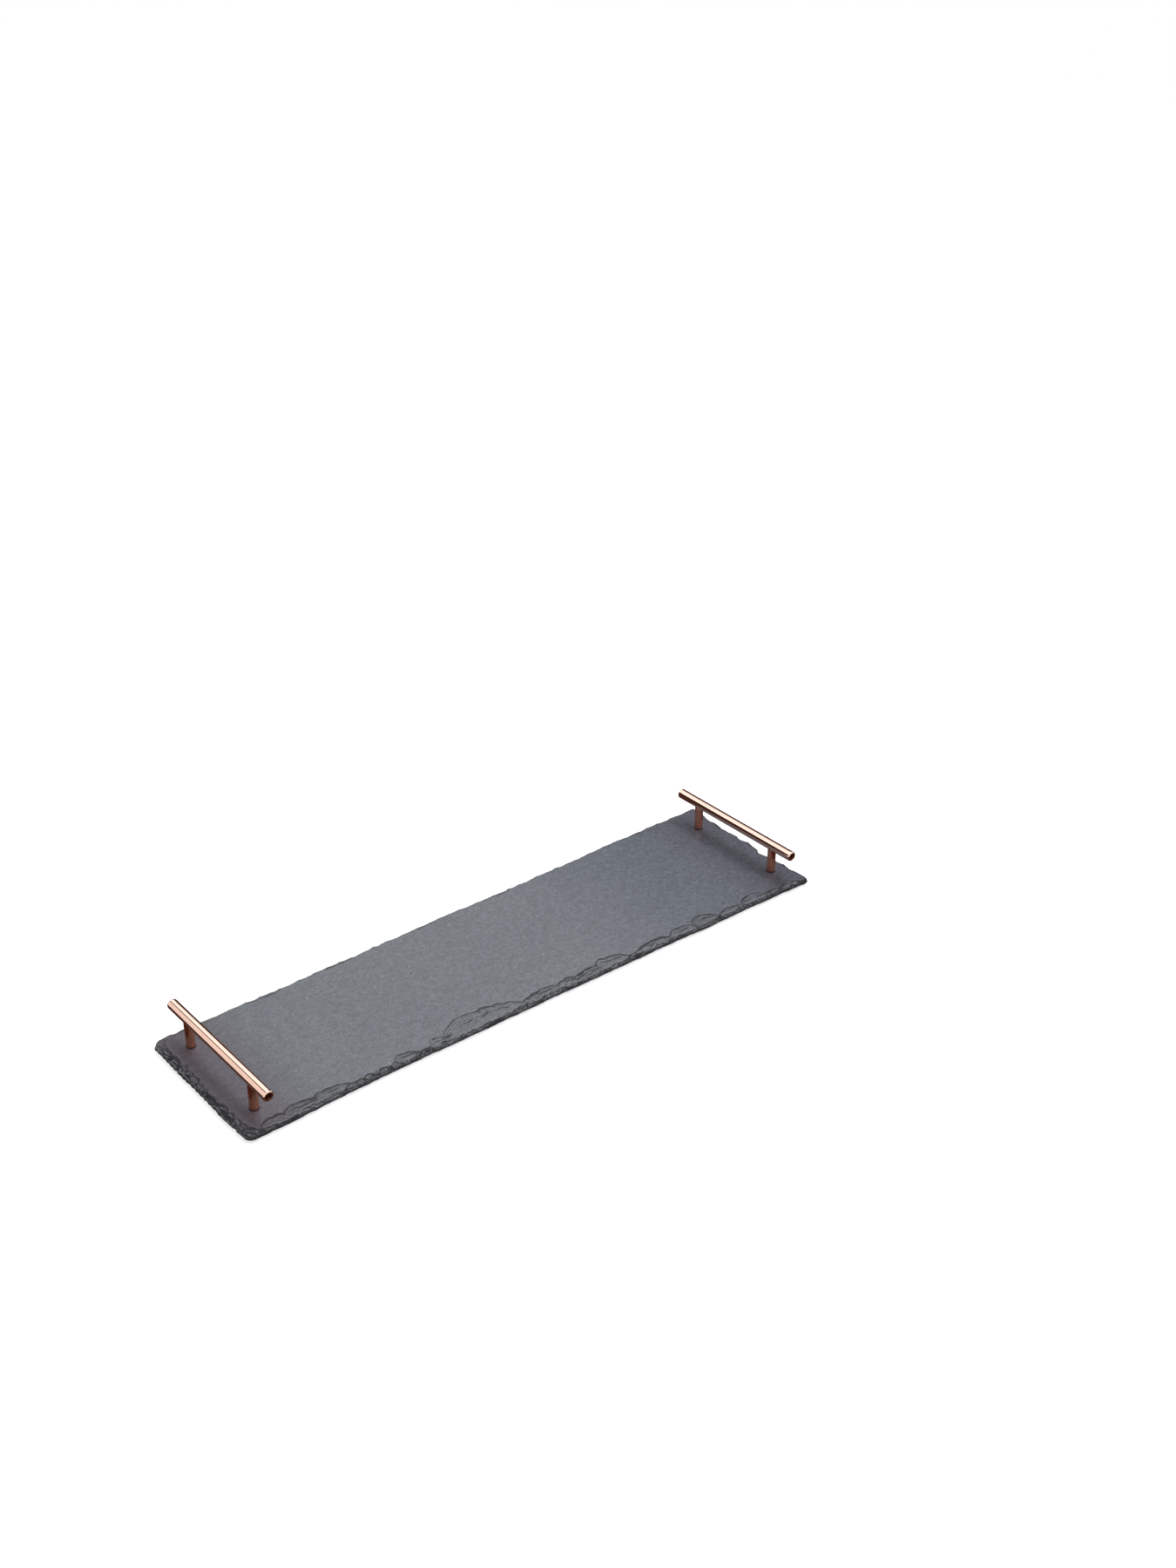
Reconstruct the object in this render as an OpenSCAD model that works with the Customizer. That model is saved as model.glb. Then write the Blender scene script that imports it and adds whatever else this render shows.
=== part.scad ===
// Long slate serving board with two copper bar handles.
// The slab lies flat along X. A handle spans the board's width near each end.
// Each handle is a round bar on two posts, fixed from below by recessed machine screws.
// The origin is the middle of the footprint, on the plane that the feet stand on. +Z is up.

/* [Board] */
// Longest extent of the slate, from end to end
board_l = 570; // [450:1:800]
// Largest width of the slate
board_w = 158; // [150:1:240]
// Thickness of the slate
board_t = 6; // [5:0.5:12]
// Radius of the slate's corners in plan
corner_r = 7; // [4:0.5:12]
// How much narrower the left end is than the right end
end_taper = 8; // [0:0.5:10]
// How far the top edge lies inside the widest line of the edge, on the side that slopes most
edge_slope = 3.2; // [1.5:0.1:4]
// Height of the waves along the outline
edge_wave = 0.5; // [0.1:0.1:1]
// How far the outline wanders in and out along a side
edge_wander = 4; // [0:0.25:5]
// Height of the chips in the broken edge
chip_wave = 0.35; // [0.05:0.05:0.5]
// How far the largest flake scar reaches in from a long edge
flake_reach = 20; // [4:0.5:22]
// How far the largest flake scar reaches in from an end
end_flake_reach = 4; // [1:0.5:6]
// Depth of the flake scars at the edge
flake_drop = 0.8; // [0.2:0.1:1.5]

/* [Handles] */
// Distance from the end of the board to the middle of a handle
handle_inset = 22.5; // [18:0.5:60]
// How far the handles' middle lies in front of the board's middle
handle_shift = 1.5; // [0:0.5:3]
// Spacing of the two posts of a handle, hole centre to hole centre
hole_spacing = 96; // [64:1:116]
// Length of a handle bar
bar_l = 146; // [130:1:240]
// Diameter of a handle bar
bar_d = 9; // [8:0.5:14]
// Chamfer at the ends of a bar
bar_chamfer = 0.8; // [0.2:0.1:2]
// Height of the bar's axis above the slate
bar_height = 26; // [22:0.5:45]
// Diameter of a post
post_d = 7.5; // [6.5:0.1:7.8]
// Chamfer at the foot of a post
post_chamfer = 0.4; // [0.1:0.1:0.8]
// Thickness of the gasket under a post
gasket_t = 0.5; // [0.3:0.1:1.5]
// How far the gasket stands out around the post
gasket_lip = 0.25; // [0:0.05:1]

/* [Fixings] */
// Diameter of the threads
thread_d = 4; // [3:0.5:4.5]
// Clearance around a thread in its threaded bore
thread_gap = 0.05; // [0.02:0.01:0.1]
// Clearance around a thread in a plain hole
hole_gap = 0.3; // [0.1:0.05:0.5]
// How far the bar's blind bores reach past its axis
bore_rise = 1.5; // [0:0.1:2.5]
// Length of the stud that joins a post to the bar
stud_l = 13.5; // [9:0.5:15]
// Distance left between the stud and the end of the screw
meet_gap = 3; // [0.5:0.5:5]
// Chamfer at the ends of the threads
thread_chamfer = 0.4; // [0.1:0.1:0.6]
// Diameter of a screw head
head_d = 7.4; // [6.5:0.1:9]
// Height of a screw head
head_h = 1.9; // [1.5:0.1:2.6]
// Chamfer around a screw head
head_chamfer = 0.3; // [0.1:0.1:0.5]
// Size of the hexagon socket across its flats
socket_w = 2.5; // [2:0.1:3.5]
// Depth of the hexagon socket
socket_depth = 1.1; // [0.6:0.1:1.3]
// Diameter of a washer
washer_d = 9; // [7.5:0.1:11]
// Thickness of a washer
washer_t = 0.8; // [0.4:0.1:1]
// Clearance around a washer in its recess
recess_gap = 0.6; // [0.2:0.1:1.5]
// How far a screw head lies inside the underside
head_sink = 0.2; // [0.1:0.1:0.5]

/* [Feet] */
// Diameter of a foot
foot_d = 12; // [8:0.5:16]
// Height of a foot
foot_h = 2; // [1.5:0.1:5]
// Chamfer around the underside of a foot
foot_chamfer = 0.5; // [0.2:0.1:1]
// Distance from the end of the board to the middle of a foot
foot_inset = 57.5; // [45:0.5:120]
// Distance from the long edge of the board to the middle of a foot
foot_side = 25; // [18:0.5:40]

/* [Hidden] */

$fn = 64;

// Overrun of the cuts past the faces that they open
cut = 1;

slate_colour = [0.36, 0.38, 0.41];
copper_colour = [0.80, 0.50, 0.40];
steel_colour = [0.74, 0.74, 0.76];
rubber_colour = [0.09, 0.09, 0.10];

// Levels of the stack, from the table upwards
slab_z = foot_h;
top_z = slab_z + board_t;
post_z = top_z + gasket_t;
axis_z = top_z + bar_height;
stud_top_z = axis_z + bore_rise;
stud_z = stud_top_z - stud_l;
recess_depth = washer_t + head_h + head_sink;
seat_z = slab_z + recess_depth;
head_top_z = seat_z - washer_t;
head_z = head_top_z - head_h;
screw_tip_z = stud_z - meet_gap;

// Places in plan
handle_x = board_l / 2 - handle_inset;
front_y = -handle_shift - hole_spacing / 2;
back_y = -handle_shift + hole_spacing / 2;
foot_x = board_l / 2 - foot_inset;
foot_y = board_w / 2 - foot_side;

// Diameters that follow from the fit of one piece in another
gasket_d = post_d + 2 * gasket_lip;
plain_bore_d = thread_d + 2 * hole_gap;
tapped_bore_d = thread_d + 2 * thread_gap;
recess_d = washer_d + 2 * recess_gap;

// Steps along the outline: long side, end and corner
long_steps = 132;
end_steps = 26;
corner_steps = 4;
// Steps of a long side that belong to the fan of triangles at each end
fan_steps = 15;
// Place of the fan's centre, as a share of the board's half length
fan_share = 0.8;

// The outline's waves: count around the edge, phase in degrees and share of the height
wave_counts = [5, 11, 23, 41];
wave_phases = [20, 75, 200, 310];
wave_shares = [0.42, 0.26, 0.2, 0.12];
// The same for the chips, which differ from level to level
chip_counts = [37, 61, 89, 127];
chip_phases = [0, 110, 47, 260];
chip_shares = [0.3, 0.3, 0.25, 0.15];
// Turn of the chips' phases from one level to the next, in degrees
chip_turn = 137;

// Levels of the slate's edge as shares of its thickness, and their insets as shares of the slope
level_z_shares = [0, 0.3, 0.68];
level_inset_shares = [0.3, 0, 0.4, 0.8, 1];
// How much of the slope each side has: front, right, back, left
side_slope_shares = [1, 0.35, 0.35, 0.7];

// The outline's wander along each side, evenly spaced, outwards positive, as shares of its height:
// long sides from left to right, ends from front to back
front_wander_shares = [
  0.3, 0.2, -0.35, -0.5, -0.7, -0.65, -0.7, -0.65, -0.65,
  -0.6, -0.5, -0.5, -0.45, -0.3, -0.35, -0.15, 0
];
back_wander_shares = [
  -0.7, -0.9, -0.65, -0.8, -0.7, -0.8, -0.6, -0.5, -0.3,
  -0.4, -0.3, -0.05, -0.25, 0.1, 0.15, 0.05, -0.1
];
right_wander_shares = [
  -1, -1.05, -0.8, -0.9, -1.25, -1.55, -0.8, -0.45,
  -0.8, -0.5, -0.85, -0.3, -0.55, -0.3, 0
];
left_wander_shares = [-0.05, 0, 0.05, -0.05, 0, 0.05, 0.05, 0, 0.05];

// Flake scars on the upper face: centre and half width as shares of the side,
// and depth as a share of the reach
front_centre_shares = [
  0.093, 0.125, 0.171, 0.208, 0.256, 0.311, 0.39, 0.477,
  0.532, 0.564, 0.619, 0.679, 0.75, 0.794, 0.889, 0.934
];
front_half_shares = [
  0.025, 0.028, 0.016, 0.025, 0.018, 0.018, 0.042, 0.035,
  0.021, 0.025, 0.028, 0.032, 0.025, 0.027, 0.025, 0.018
];
front_depth_shares = [
  0.4, 0.44, 0.12, 0.2, 0.5, 0.46, 0.86, 0.42,
  0.45, 0.24, 0.56, 0.3, 0.4, 0.44, 0.3, 0.1
];
back_centre_shares = [0.07, 0.18, 0.24, 0.35, 0.46, 0.57, 0.64, 0.74, 0.86, 0.93];
back_half_shares = [0.02, 0.03, 0.02, 0.028, 0.036, 0.022, 0.026, 0.03, 0.03, 0.016];
back_depth_shares = [0.16, 0.34, 0.2, 0.28, 0.4, 0.22, 0.3, 0.36, 0.26, 0.12];
left_centre_shares = [0.1, 0.25, 0.38, 0.55, 0.72, 0.9];
left_half_shares = [0.06, 0.1, 0.07, 0.11, 0.09, 0.07];
left_depth_shares = [0.5, 0.8, 0.6, 0.9, 0.7, 0.4];
right_centre_shares = [0.08, 0.2, 0.33, 0.47, 0.62, 0.77, 0.91];
right_half_shares = [0.05, 0.08, 0.07, 0.08, 0.09, 0.08, 0.06];
right_depth_shares = [0.3, 0.6, 0.4, 0.7, 0.5, 0.8, 0.4];

// Depth of the flake scars at a place along a side
function flakes(at, centres, halves, depths, reach) =
  reach * max([0, for (j = [0:len(centres) - 1])
    let (away = (at - centres[j]) / halves[j])
    abs(away) < 1 ? depths[j] * sqrt(1 - away * away) : 0]);

// Value of an evenly spaced table at a place along a side, smoothly joined
function along(at, shares) =
  let (
    k = at * (len(shares) - 1),
    i = min(floor(k), len(shares) - 2),
    m = (1 - cos(180 * (k - i))) / 2
  )
  shares[i] * (1 - m) + shares[i + 1] * m;

// Steady change from one value to another at a place along a side
function mix(at, before, after) = before + (after - before) * at;

function last(list) = list[len(list) - 1];

// The rounded rectangle as a list of
// [x, y, normal x, normal y, depth of scars, shift in x, shift in y, share of the slope],
// the shifts as shares of the wander
half_l = board_l / 2;
half_w = board_w / 2;
straight_l = board_l - 2 * corner_r;
straight_w = board_w - 2 * corner_r;

// A corner from one side to the next, with its slope going over from the one to the other
function corner(cx, cy, start, shift_x, shift_y, side) = [
  for (k = [1:corner_steps - 1])
    let (
      a = start + 90 * k / corner_steps,
      next = (side + 1) % len(side_slope_shares)
    )
    [cx + corner_r * cos(a), cy + corner_r * sin(a), cos(a), sin(a), 0, shift_x, shift_y,
      mix(k / corner_steps, side_slope_shares[side], side_slope_shares[next])]
];

function front_side() = [
  for (k = [0:long_steps])
    [-half_l + corner_r + straight_l * k / long_steps, -half_w, 0, -1,
      flakes(k / long_steps, front_centre_shares, front_half_shares,
        front_depth_shares, flake_reach),
      mix(k / long_steps, -left_wander_shares[0], right_wander_shares[0]),
      -along(k / long_steps, front_wander_shares), side_slope_shares[0]]
];

function right_side() = [
  for (k = [0:end_steps])
    [half_l, -half_w + corner_r + straight_w * k / end_steps, 1, 0,
      flakes(k / end_steps, right_centre_shares, right_half_shares,
        right_depth_shares, end_flake_reach),
      along(k / end_steps, right_wander_shares),
      mix(k / end_steps, -last(front_wander_shares), last(back_wander_shares)),
      side_slope_shares[1]]
];

function back_side() = [
  for (k = [0:long_steps])
    [half_l - corner_r - straight_l * k / long_steps, half_w, 0, 1,
      flakes(1 - k / long_steps, back_centre_shares, back_half_shares,
        back_depth_shares, flake_reach),
      mix(k / long_steps, last(right_wander_shares), -last(left_wander_shares)),
      along(1 - k / long_steps, back_wander_shares), side_slope_shares[2]]
];

function left_side() = [
  for (k = [0:end_steps])
    [-half_l, half_w - corner_r - straight_w * k / end_steps, -1, 0,
      flakes(1 - k / end_steps, left_centre_shares, left_half_shares,
        left_depth_shares, end_flake_reach),
      -along(1 - k / end_steps, left_wander_shares),
      mix(k / end_steps, back_wander_shares[0], -front_wander_shares[0]),
      side_slope_shares[3]]
];

base_line = concat(
  front_side(),
  corner(half_l - corner_r, -half_w + corner_r, -90,
    right_wander_shares[0], -last(front_wander_shares), 0),
  right_side(),
  corner(half_l - corner_r, half_w - corner_r, 0,
    last(right_wander_shares), last(back_wander_shares), 1),
  back_side(),
  corner(-half_l + corner_r, half_w - corner_r, 90,
    -last(left_wander_shares), back_wander_shares[0], 2),
  left_side(),
  corner(-half_l + corner_r, -half_w + corner_r, 180,
    -left_wander_shares[0], -front_wander_shares[0], 3)
);

ring_n = len(base_line);
back_start = long_steps + 1 + end_steps + 1 + 2 * (corner_steps - 1);
level_n = len(level_inset_shares);

function total(list, i = 0) = i < len(list) ? list[i] + total(list, i + 1) : 0;

function ripple(i, counts, phases, shares, turn) = total([
  for (j = [0:len(counts) - 1])
    shares[j] * sin(360 * counts[j] * i / ring_n + phases[j] + turn * (j + 1))
]);

// Inset of one point of one level from the rounded rectangle
function inset(i, level) =
  level_inset_shares[level] * edge_slope * base_line[i][7]
  + edge_wave * ripple(i, wave_counts, wave_phases, wave_shares, 0)
  + chip_wave * ripple(i, chip_counts, chip_phases, chip_shares, chip_turn * level)
  + (level == level_n - 1 ? base_line[i][4] : 0);

function narrowing(x) = 1 - end_taper / board_w * (1 / 2 - x / board_l);

function raw_point(i, level) =
  let (
    b = base_line[i],
    d = inset(i, level),
    x = b[0] - d * b[2] + edge_wander * b[5],
    y = b[1] - d * b[3] + edge_wander * b[6]
  )
  [x, y * narrowing(x)];

// The widest level is fitted to the named length and width
widest_level = 1;
widest = [for (i = [0:ring_n - 1]) raw_point(i, widest_level)];
widest_x = [for (p = widest) p[0]];
widest_y = [for (p = widest) p[1]];
mid_x = (max(widest_x) + min(widest_x)) / 2;
mid_y = (max(widest_y) + min(widest_y)) / 2;
scale_x = board_l / (max(widest_x) - min(widest_x));
scale_y = board_w / (max(widest_y) - min(widest_y));

level_z = [
  slab_z + level_z_shares[0] * board_t,
  slab_z + level_z_shares[1] * board_t,
  slab_z + level_z_shares[2] * board_t,
  top_z - flake_drop,
  top_z
];

function ring(level) = [
  for (i = [0:ring_n - 1])
    let (p = raw_point(i, level))
    [(p[0] - mid_x) * scale_x, (p[1] - mid_y) * scale_y, level_z[level]]
];

slab_points = concat(
  ring(0), ring(1), ring(2), ring(3), ring(4),
  [[-half_l * fan_share, 0, slab_z], [half_l * fan_share, 0, slab_z],
    [-half_l * fan_share, 0, top_z], [half_l * fan_share, 0, top_z]]
);

// Faces between two neighbouring levels
function wall_faces(level) = [
  for (i = [0:ring_n - 1])
    let (a = level * ring_n, b = a + ring_n, j = (i + 1) % ring_n)
    each [[a + i, b + i, b + j], [a + i, b + j, a + j]]
];

// Faces of a flat end: strips across the middle and a fan at each end
function cap_faces(start, left_c, right_c) = concat(
  [for (k = [fan_steps:long_steps - fan_steps - 1])
    let (f = start + k, b = start + back_start + long_steps - k)
    each [[f, b, f + 1], [f + 1, b, b - 1]]],
  [for (i = [back_start + long_steps - fan_steps:ring_n + fan_steps - 1])
    [left_c, start + (i + 1) % ring_n, start + i % ring_n]],
  [[left_c, start + back_start + long_steps - fan_steps, start + fan_steps]],
  [for (i = [long_steps - fan_steps:back_start + fan_steps - 1])
    [right_c, start + i + 1, start + i]],
  [[right_c, start + long_steps - fan_steps, start + back_start + fan_steps]]
);

function flipped(faces) = [for (f = faces) [f[0], f[2], f[1]]];

centre_start = level_n * ring_n;

slab_faces = concat(
  flipped(cap_faces(0, centre_start, centre_start + 1)),
  wall_faces(0), wall_faces(1), wall_faces(2), wall_faces(3),
  cap_faces((level_n - 1) * ring_n, centre_start + 2, centre_start + 3)
);

// The slate with its four stepped screw holes
module slate_slab() {
  color(slate_colour)
  difference() {
    polyhedron(points = slab_points, faces = slab_faces);
    for (x = [-handle_x, handle_x], y = [front_y, back_y]) {
      translate([x, y, slab_z - cut]) cylinder(d = plain_bore_d, h = board_t + 2 * cut);
      translate([x, y, slab_z - cut]) cylinder(d = recess_d, h = recess_depth + cut);
    }
  }
}

// A turned bar across the board, with a blind threaded bore over each post
module bar(x) {
  r = bar_d / 2;
  h = bar_l / 2;
  color(copper_colour)
  difference() {
    translate([x, -handle_shift, axis_z]) rotate([90, 0, 0])
      rotate_extrude()
        polygon([[0, -h], [r - bar_chamfer, -h], [r, -h + bar_chamfer],
          [r, h - bar_chamfer], [r - bar_chamfer, h], [0, h]]);
    for (y = [front_y, back_y])
      translate([x, y, axis_z - bar_d]) cylinder(d = tapped_bore_d, h = bar_d + bore_rise);
  }
}

// A turned post with a hollow top that fits the bar, and a threaded bore through it
module post(x, y) {
  r = post_d / 2;
  color(copper_colour)
  difference() {
    translate([x, y, 0])
      rotate_extrude()
        polygon([[0, post_z], [r - post_chamfer, post_z], [r, post_z + post_chamfer],
          [r, axis_z], [0, axis_z]]);
    translate([x, y + post_d, axis_z]) rotate([90, 0, 0]) cylinder(d = bar_d, h = 2 * post_d);
    translate([x, y, post_z - cut]) cylinder(d = tapped_bore_d, h = bar_height + 2 * cut);
  }
}

// A thin ring between the post and the slate
module gasket(x, y) {
  color(rubber_colour)
  difference() {
    translate([x, y, top_z]) cylinder(d = gasket_d, h = gasket_t);
    translate([x, y, top_z - cut]) cylinder(d = plain_bore_d, h = gasket_t + 2 * cut);
  }
}

// A threaded stud from the post into the bar
module stud(x, y) {
  r = thread_d / 2;
  color(steel_colour)
  translate([x, y, 0])
    rotate_extrude()
      polygon([[0, stud_z], [r - thread_chamfer, stud_z], [r, stud_z + thread_chamfer],
        [r, stud_top_z - thread_chamfer], [r - thread_chamfer, stud_top_z], [0, stud_top_z]]);
}

// A machine screw from below, with a hexagon socket in its low head
module screw(x, y) {
  r = thread_d / 2;
  s = head_d / 2;
  color(steel_colour)
  translate([x, y, 0])
  difference() {
    rotate_extrude()
      polygon([[0, head_z], [s - head_chamfer, head_z], [s, head_z + head_chamfer],
        [s, head_top_z], [r, head_top_z], [r, screw_tip_z - thread_chamfer],
        [r - thread_chamfer, screw_tip_z], [0, screw_tip_z]]);
    translate([0, 0, head_z - cut])
      cylinder(d = socket_w / cos(30), h = socket_depth + cut, $fn = 6);
  }
}

// A flat washer between the screw head and the slate
module washer(x, y) {
  color(steel_colour)
  difference() {
    translate([x, y, head_top_z]) cylinder(d = washer_d, h = washer_t);
    translate([x, y, head_top_z - cut]) cylinder(d = plain_bore_d, h = washer_t + 2 * cut);
  }
}

// A round stick-on foot
module foot(x, y) {
  r = foot_d / 2;
  color(rubber_colour)
  translate([x, y, 0])
    rotate_extrude()
      polygon([[0, 0], [r - foot_chamfer, 0], [r, foot_chamfer], [r, foot_h], [0, foot_h]]);
}

slate_slab();
bar(-handle_x);  // left_bar
post(-handle_x, front_y);  // left_post_front
post(-handle_x, back_y);  // left_post_back
gasket(-handle_x, front_y);  // left_gasket_front
gasket(-handle_x, back_y);  // left_gasket_back
stud(-handle_x, front_y);  // left_stud_front
stud(-handle_x, back_y);  // left_stud_back
screw(-handle_x, front_y);  // left_screw_front
screw(-handle_x, back_y);  // left_screw_back
washer(-handle_x, front_y);  // left_washer_front
washer(-handle_x, back_y);  // left_washer_back
bar(handle_x);  // right_bar
post(handle_x, front_y);  // right_post_front
post(handle_x, back_y);  // right_post_back
gasket(handle_x, front_y);  // right_gasket_front
gasket(handle_x, back_y);  // right_gasket_back
stud(handle_x, front_y);  // right_stud_front
stud(handle_x, back_y);  // right_stud_back
screw(handle_x, front_y);  // right_screw_front
screw(handle_x, back_y);  // right_screw_back
washer(handle_x, front_y);  // right_washer_front
washer(handle_x, back_y);  // right_washer_back
foot(-foot_x, -foot_y);  // foot_front_left
foot(foot_x, -foot_y);  // foot_front_right
foot(-foot_x, foot_y);  // foot_back_left
foot(foot_x, foot_y);  // foot_back_right
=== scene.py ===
"""Looks of the slate serving board: dressed slate, copper bar handles, fixings, plain studio."""

import math

import bpy
import numpy as np
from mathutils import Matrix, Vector, kdtree
from mathutils.geometry import delaunay_2d_cdt


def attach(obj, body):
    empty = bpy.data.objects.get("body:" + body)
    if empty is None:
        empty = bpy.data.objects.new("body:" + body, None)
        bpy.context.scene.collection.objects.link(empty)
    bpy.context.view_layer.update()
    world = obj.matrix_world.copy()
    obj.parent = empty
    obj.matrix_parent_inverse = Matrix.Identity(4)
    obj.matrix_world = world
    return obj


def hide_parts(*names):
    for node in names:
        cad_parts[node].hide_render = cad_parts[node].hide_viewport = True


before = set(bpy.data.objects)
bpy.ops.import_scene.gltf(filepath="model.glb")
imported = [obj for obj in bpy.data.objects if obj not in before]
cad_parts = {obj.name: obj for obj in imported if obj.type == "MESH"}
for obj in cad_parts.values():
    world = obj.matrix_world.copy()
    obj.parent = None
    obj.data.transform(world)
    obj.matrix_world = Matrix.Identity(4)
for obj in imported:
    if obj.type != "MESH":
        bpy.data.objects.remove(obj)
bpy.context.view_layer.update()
MM = 0.001
RNG = np.random.default_rng(20731)

# ---- camera, solved from the photo
CAMERA_PLACE = (-0.7488, -1.03922, 0.88115)
CAMERA_AZIMUTH = math.radians(-39.015)
CAMERA_ELEVATION = math.radians(29.182)
CAMERA_LENS = 42.615
CAMERA_SENSOR = 36
CAMERA_CLIP = (0.05, 30)


def make_camera():
    a, e = CAMERA_AZIMUTH, CAMERA_ELEVATION
    back = Vector((math.sin(a) * math.cos(e), -math.cos(a) * math.cos(e), math.sin(e)))
    data = bpy.data.cameras.new("camera")
    data.lens = CAMERA_LENS
    data.sensor_width = CAMERA_SENSOR
    data.clip_start, data.clip_end = CAMERA_CLIP
    camera = bpy.data.objects.new("camera", data)
    camera.location = CAMERA_PLACE
    camera.rotation_mode = "QUATERNION"
    camera.rotation_quaternion = (-back).to_track_quat("-Z", "Y")
    bpy.context.scene.collection.objects.link(camera)
    bpy.context.scene.camera = camera


make_camera()

# ---- sizes in mm, as in the part's source
BOARD_L, BOARD_W = 570, 158
CORNER_R, END_TAPER = 7, 8
EDGE_SLOPE, EDGE_WAVE, EDGE_WANDER, CHIP_WAVE = 3.2, 0.5, 4, 0.35
SLAB_Z, TOP_Z = 2, 8
HANDLE_X, FRONT_Y, BACK_Y = 262.5, -49.5, 46.5
HANDLE_MID_Y = (FRONT_Y + BACK_Y) / 2
BAR_L, BAR_R, BAR_CHAMFER, AXIS_Z = 146, 4.5, 0.8, 34
POST_R, POST_Z, POST_CHAMFER = 3.75, 8.5, 0.4
TAPPED_R, BORE_R, RECESS_R, SEAT_Z, STUD_TOP_Z = 2.05, 2.3, 5.1, 4.9, 35.5

# Steps of the outline's ring along long sides, ends and corners. Waves and chips: how many go
# round it, phases in degrees, shares
LONG_STEPS, END_STEPS, CORNER_STEPS = 132, 26, 4
WAVES = ([5, 11, 23, 41], [20, 75, 200, 310], [0.42, 0.26, 0.2, 0.12])
CHIPS = ([37, 61, 89, 127], [0, 110, 47, 260], [0.3, 0.3, 0.25, 0.15])
CHIP_TURN = 137
# How far each side wanders outwards at even places along it, in shares of EDGE_WANDER
FRONT_WANDER = [
    0.3, 0.2, -0.35, -0.5, -0.7, -0.65, -0.7, -0.65, -0.65,
    -0.6, -0.5, -0.5, -0.45, -0.3, -0.35, -0.15, 0]
BACK_WANDER = [
    -0.7, -0.9, -0.65, -0.8, -0.7, -0.8, -0.6, -0.5, -0.3,
    -0.4, -0.3, -0.05, -0.25, 0.1, 0.15, 0.05, -0.1]
RIGHT_WANDER = [
    -1, -1.05, -0.8, -0.9, -1.25, -1.55, -0.8, -0.45,
    -0.8, -0.5, -0.85, -0.3, -0.55, -0.3, 0]
LEFT_WANDER = [-0.05, 0, 0.05, -0.05, 0, 0.05, 0.05, 0, 0.05]
HALF_L, HALF_W = BOARD_L / 2, BOARD_W / 2
STRAIGHT_L, STRAIGHT_W = BOARD_L - 2 * CORNER_R, BOARD_W - 2 * CORNER_R
IN_L, IN_W = HALF_L - CORNER_R, HALF_W - CORNER_R
# Shifts of the corners, from front right round to front left
CORNER_X = (RIGHT_WANDER[0], RIGHT_WANDER[-1], -LEFT_WANDER[-1], -LEFT_WANDER[0])
CORNER_Y = (-FRONT_WANDER[-1], BACK_WANDER[-1], BACK_WANDER[0], -FRONT_WANDER[0])
RING_N = 2 * (LONG_STEPS + END_STEPS + 2 * CORNER_STEPS)
# The wall's heights, its insets there, and the slope's share on the front, right, back and left
LEVEL_Z = [2, 3.8, 6.08, 7.2, 8]
LEVEL_INSET = [0.3, 0, 0.4, 0.8, 1]
SIDE_SLOPE = [1, 0.35, 0.35, 0.7]
# The corners of the right end are less rounded: ring place and push outwards, over so many steps
CORNER_PUSH = [(134, 2.6), (164, 3.6)]
CORNER_PUSH_HALF = 2.5
# How far all points stay inside the part's box
BOX_MARGIN = 0.02
# Where each stretch of the outline starts, in ring steps
STARTS = np.cumsum([0] + [LONG_STEPS, CORNER_STEPS, END_STEPS, CORNER_STEPS] * 2)


# ---- noise
def hash01(ix, iy, seed):
    """A number from 0 to 1 for each pair of whole numbers."""
    h = (ix.astype(np.int64).astype(np.uint64) * np.uint64(374761393)
         + iy.astype(np.int64).astype(np.uint64) * np.uint64(668265263)
         + np.uint64(seed) * np.uint64(974634777))
    h &= np.uint64(0xFFFFFFFF)
    h = ((h ^ (h >> np.uint64(13))) * np.uint64(1274126177)) & np.uint64(0xFFFFFFFF)
    return ((h ^ (h >> np.uint64(16))) & np.uint64(0xFFFFFF)).astype(float) / 0xFFFFFF


def noise(x, y, seed):
    """Smooth value noise from -1 to 1."""
    ix, iy = np.floor(x), np.floor(y)
    fx, fy = x - ix, y - iy
    fx, fy = fx * fx * (3 - 2 * fx), fy * fy * (3 - 2 * fy)
    low = hash01(ix, iy, seed) * (1 - fx) + hash01(ix + 1, iy, seed) * fx
    high = hash01(ix, iy + 1, seed) * (1 - fx) + hash01(ix + 1, iy + 1, seed) * fx
    return 2 * (low * (1 - fy) + high * fy) - 1


def fbm(x, y, seed, octaves=3):
    value, size, total = 0, 1, 0
    for o in range(octaves):
        value = value + size * noise(x * 2 ** o, y * 2 ** o, seed + o)
        total += size
        size *= 0.5
    return value / total


def patches(p, x, y, seed, octaves=3):
    """Noise at plan points, in patches of about x by y mm."""
    return fbm(p[:, 0] / x, p[:, 1] / y, seed, octaves)


def smooth(edge0, edge1, x):
    t = np.clip((x - edge0) / (edge1 - edge0), 0, 1)
    return t * t * (3 - 2 * t)


# ---- outline, as in the part's source
def along(at, shares):
    """Values at parts of a side's length, smooth between the table's even places."""
    shares = np.asarray(shares, float)
    k = at * (len(shares) - 1)
    i = np.minimum(np.floor(k), len(shares) - 2).astype(int)
    m = (1 - np.cos(math.pi * (k - i))) / 2
    return shares[i] * (1 - m) + shares[i + 1] * m


def mix(at, before, after):
    return before + (after - before) * at


def by_side(i, values):
    """A value of each side (front, right, back, left), going over to the next round the corners."""
    i = np.mod(i, RING_N)
    part = np.searchsorted(STARTS, i, side="right") - 1
    t = np.where(part % 2 == 1, (i - STARTS[part]) / CORNER_STEPS, 0)
    values = np.asarray(values, float)
    return mix(t, values[part // 2], values[(part // 2 + 1) % 4])


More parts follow.
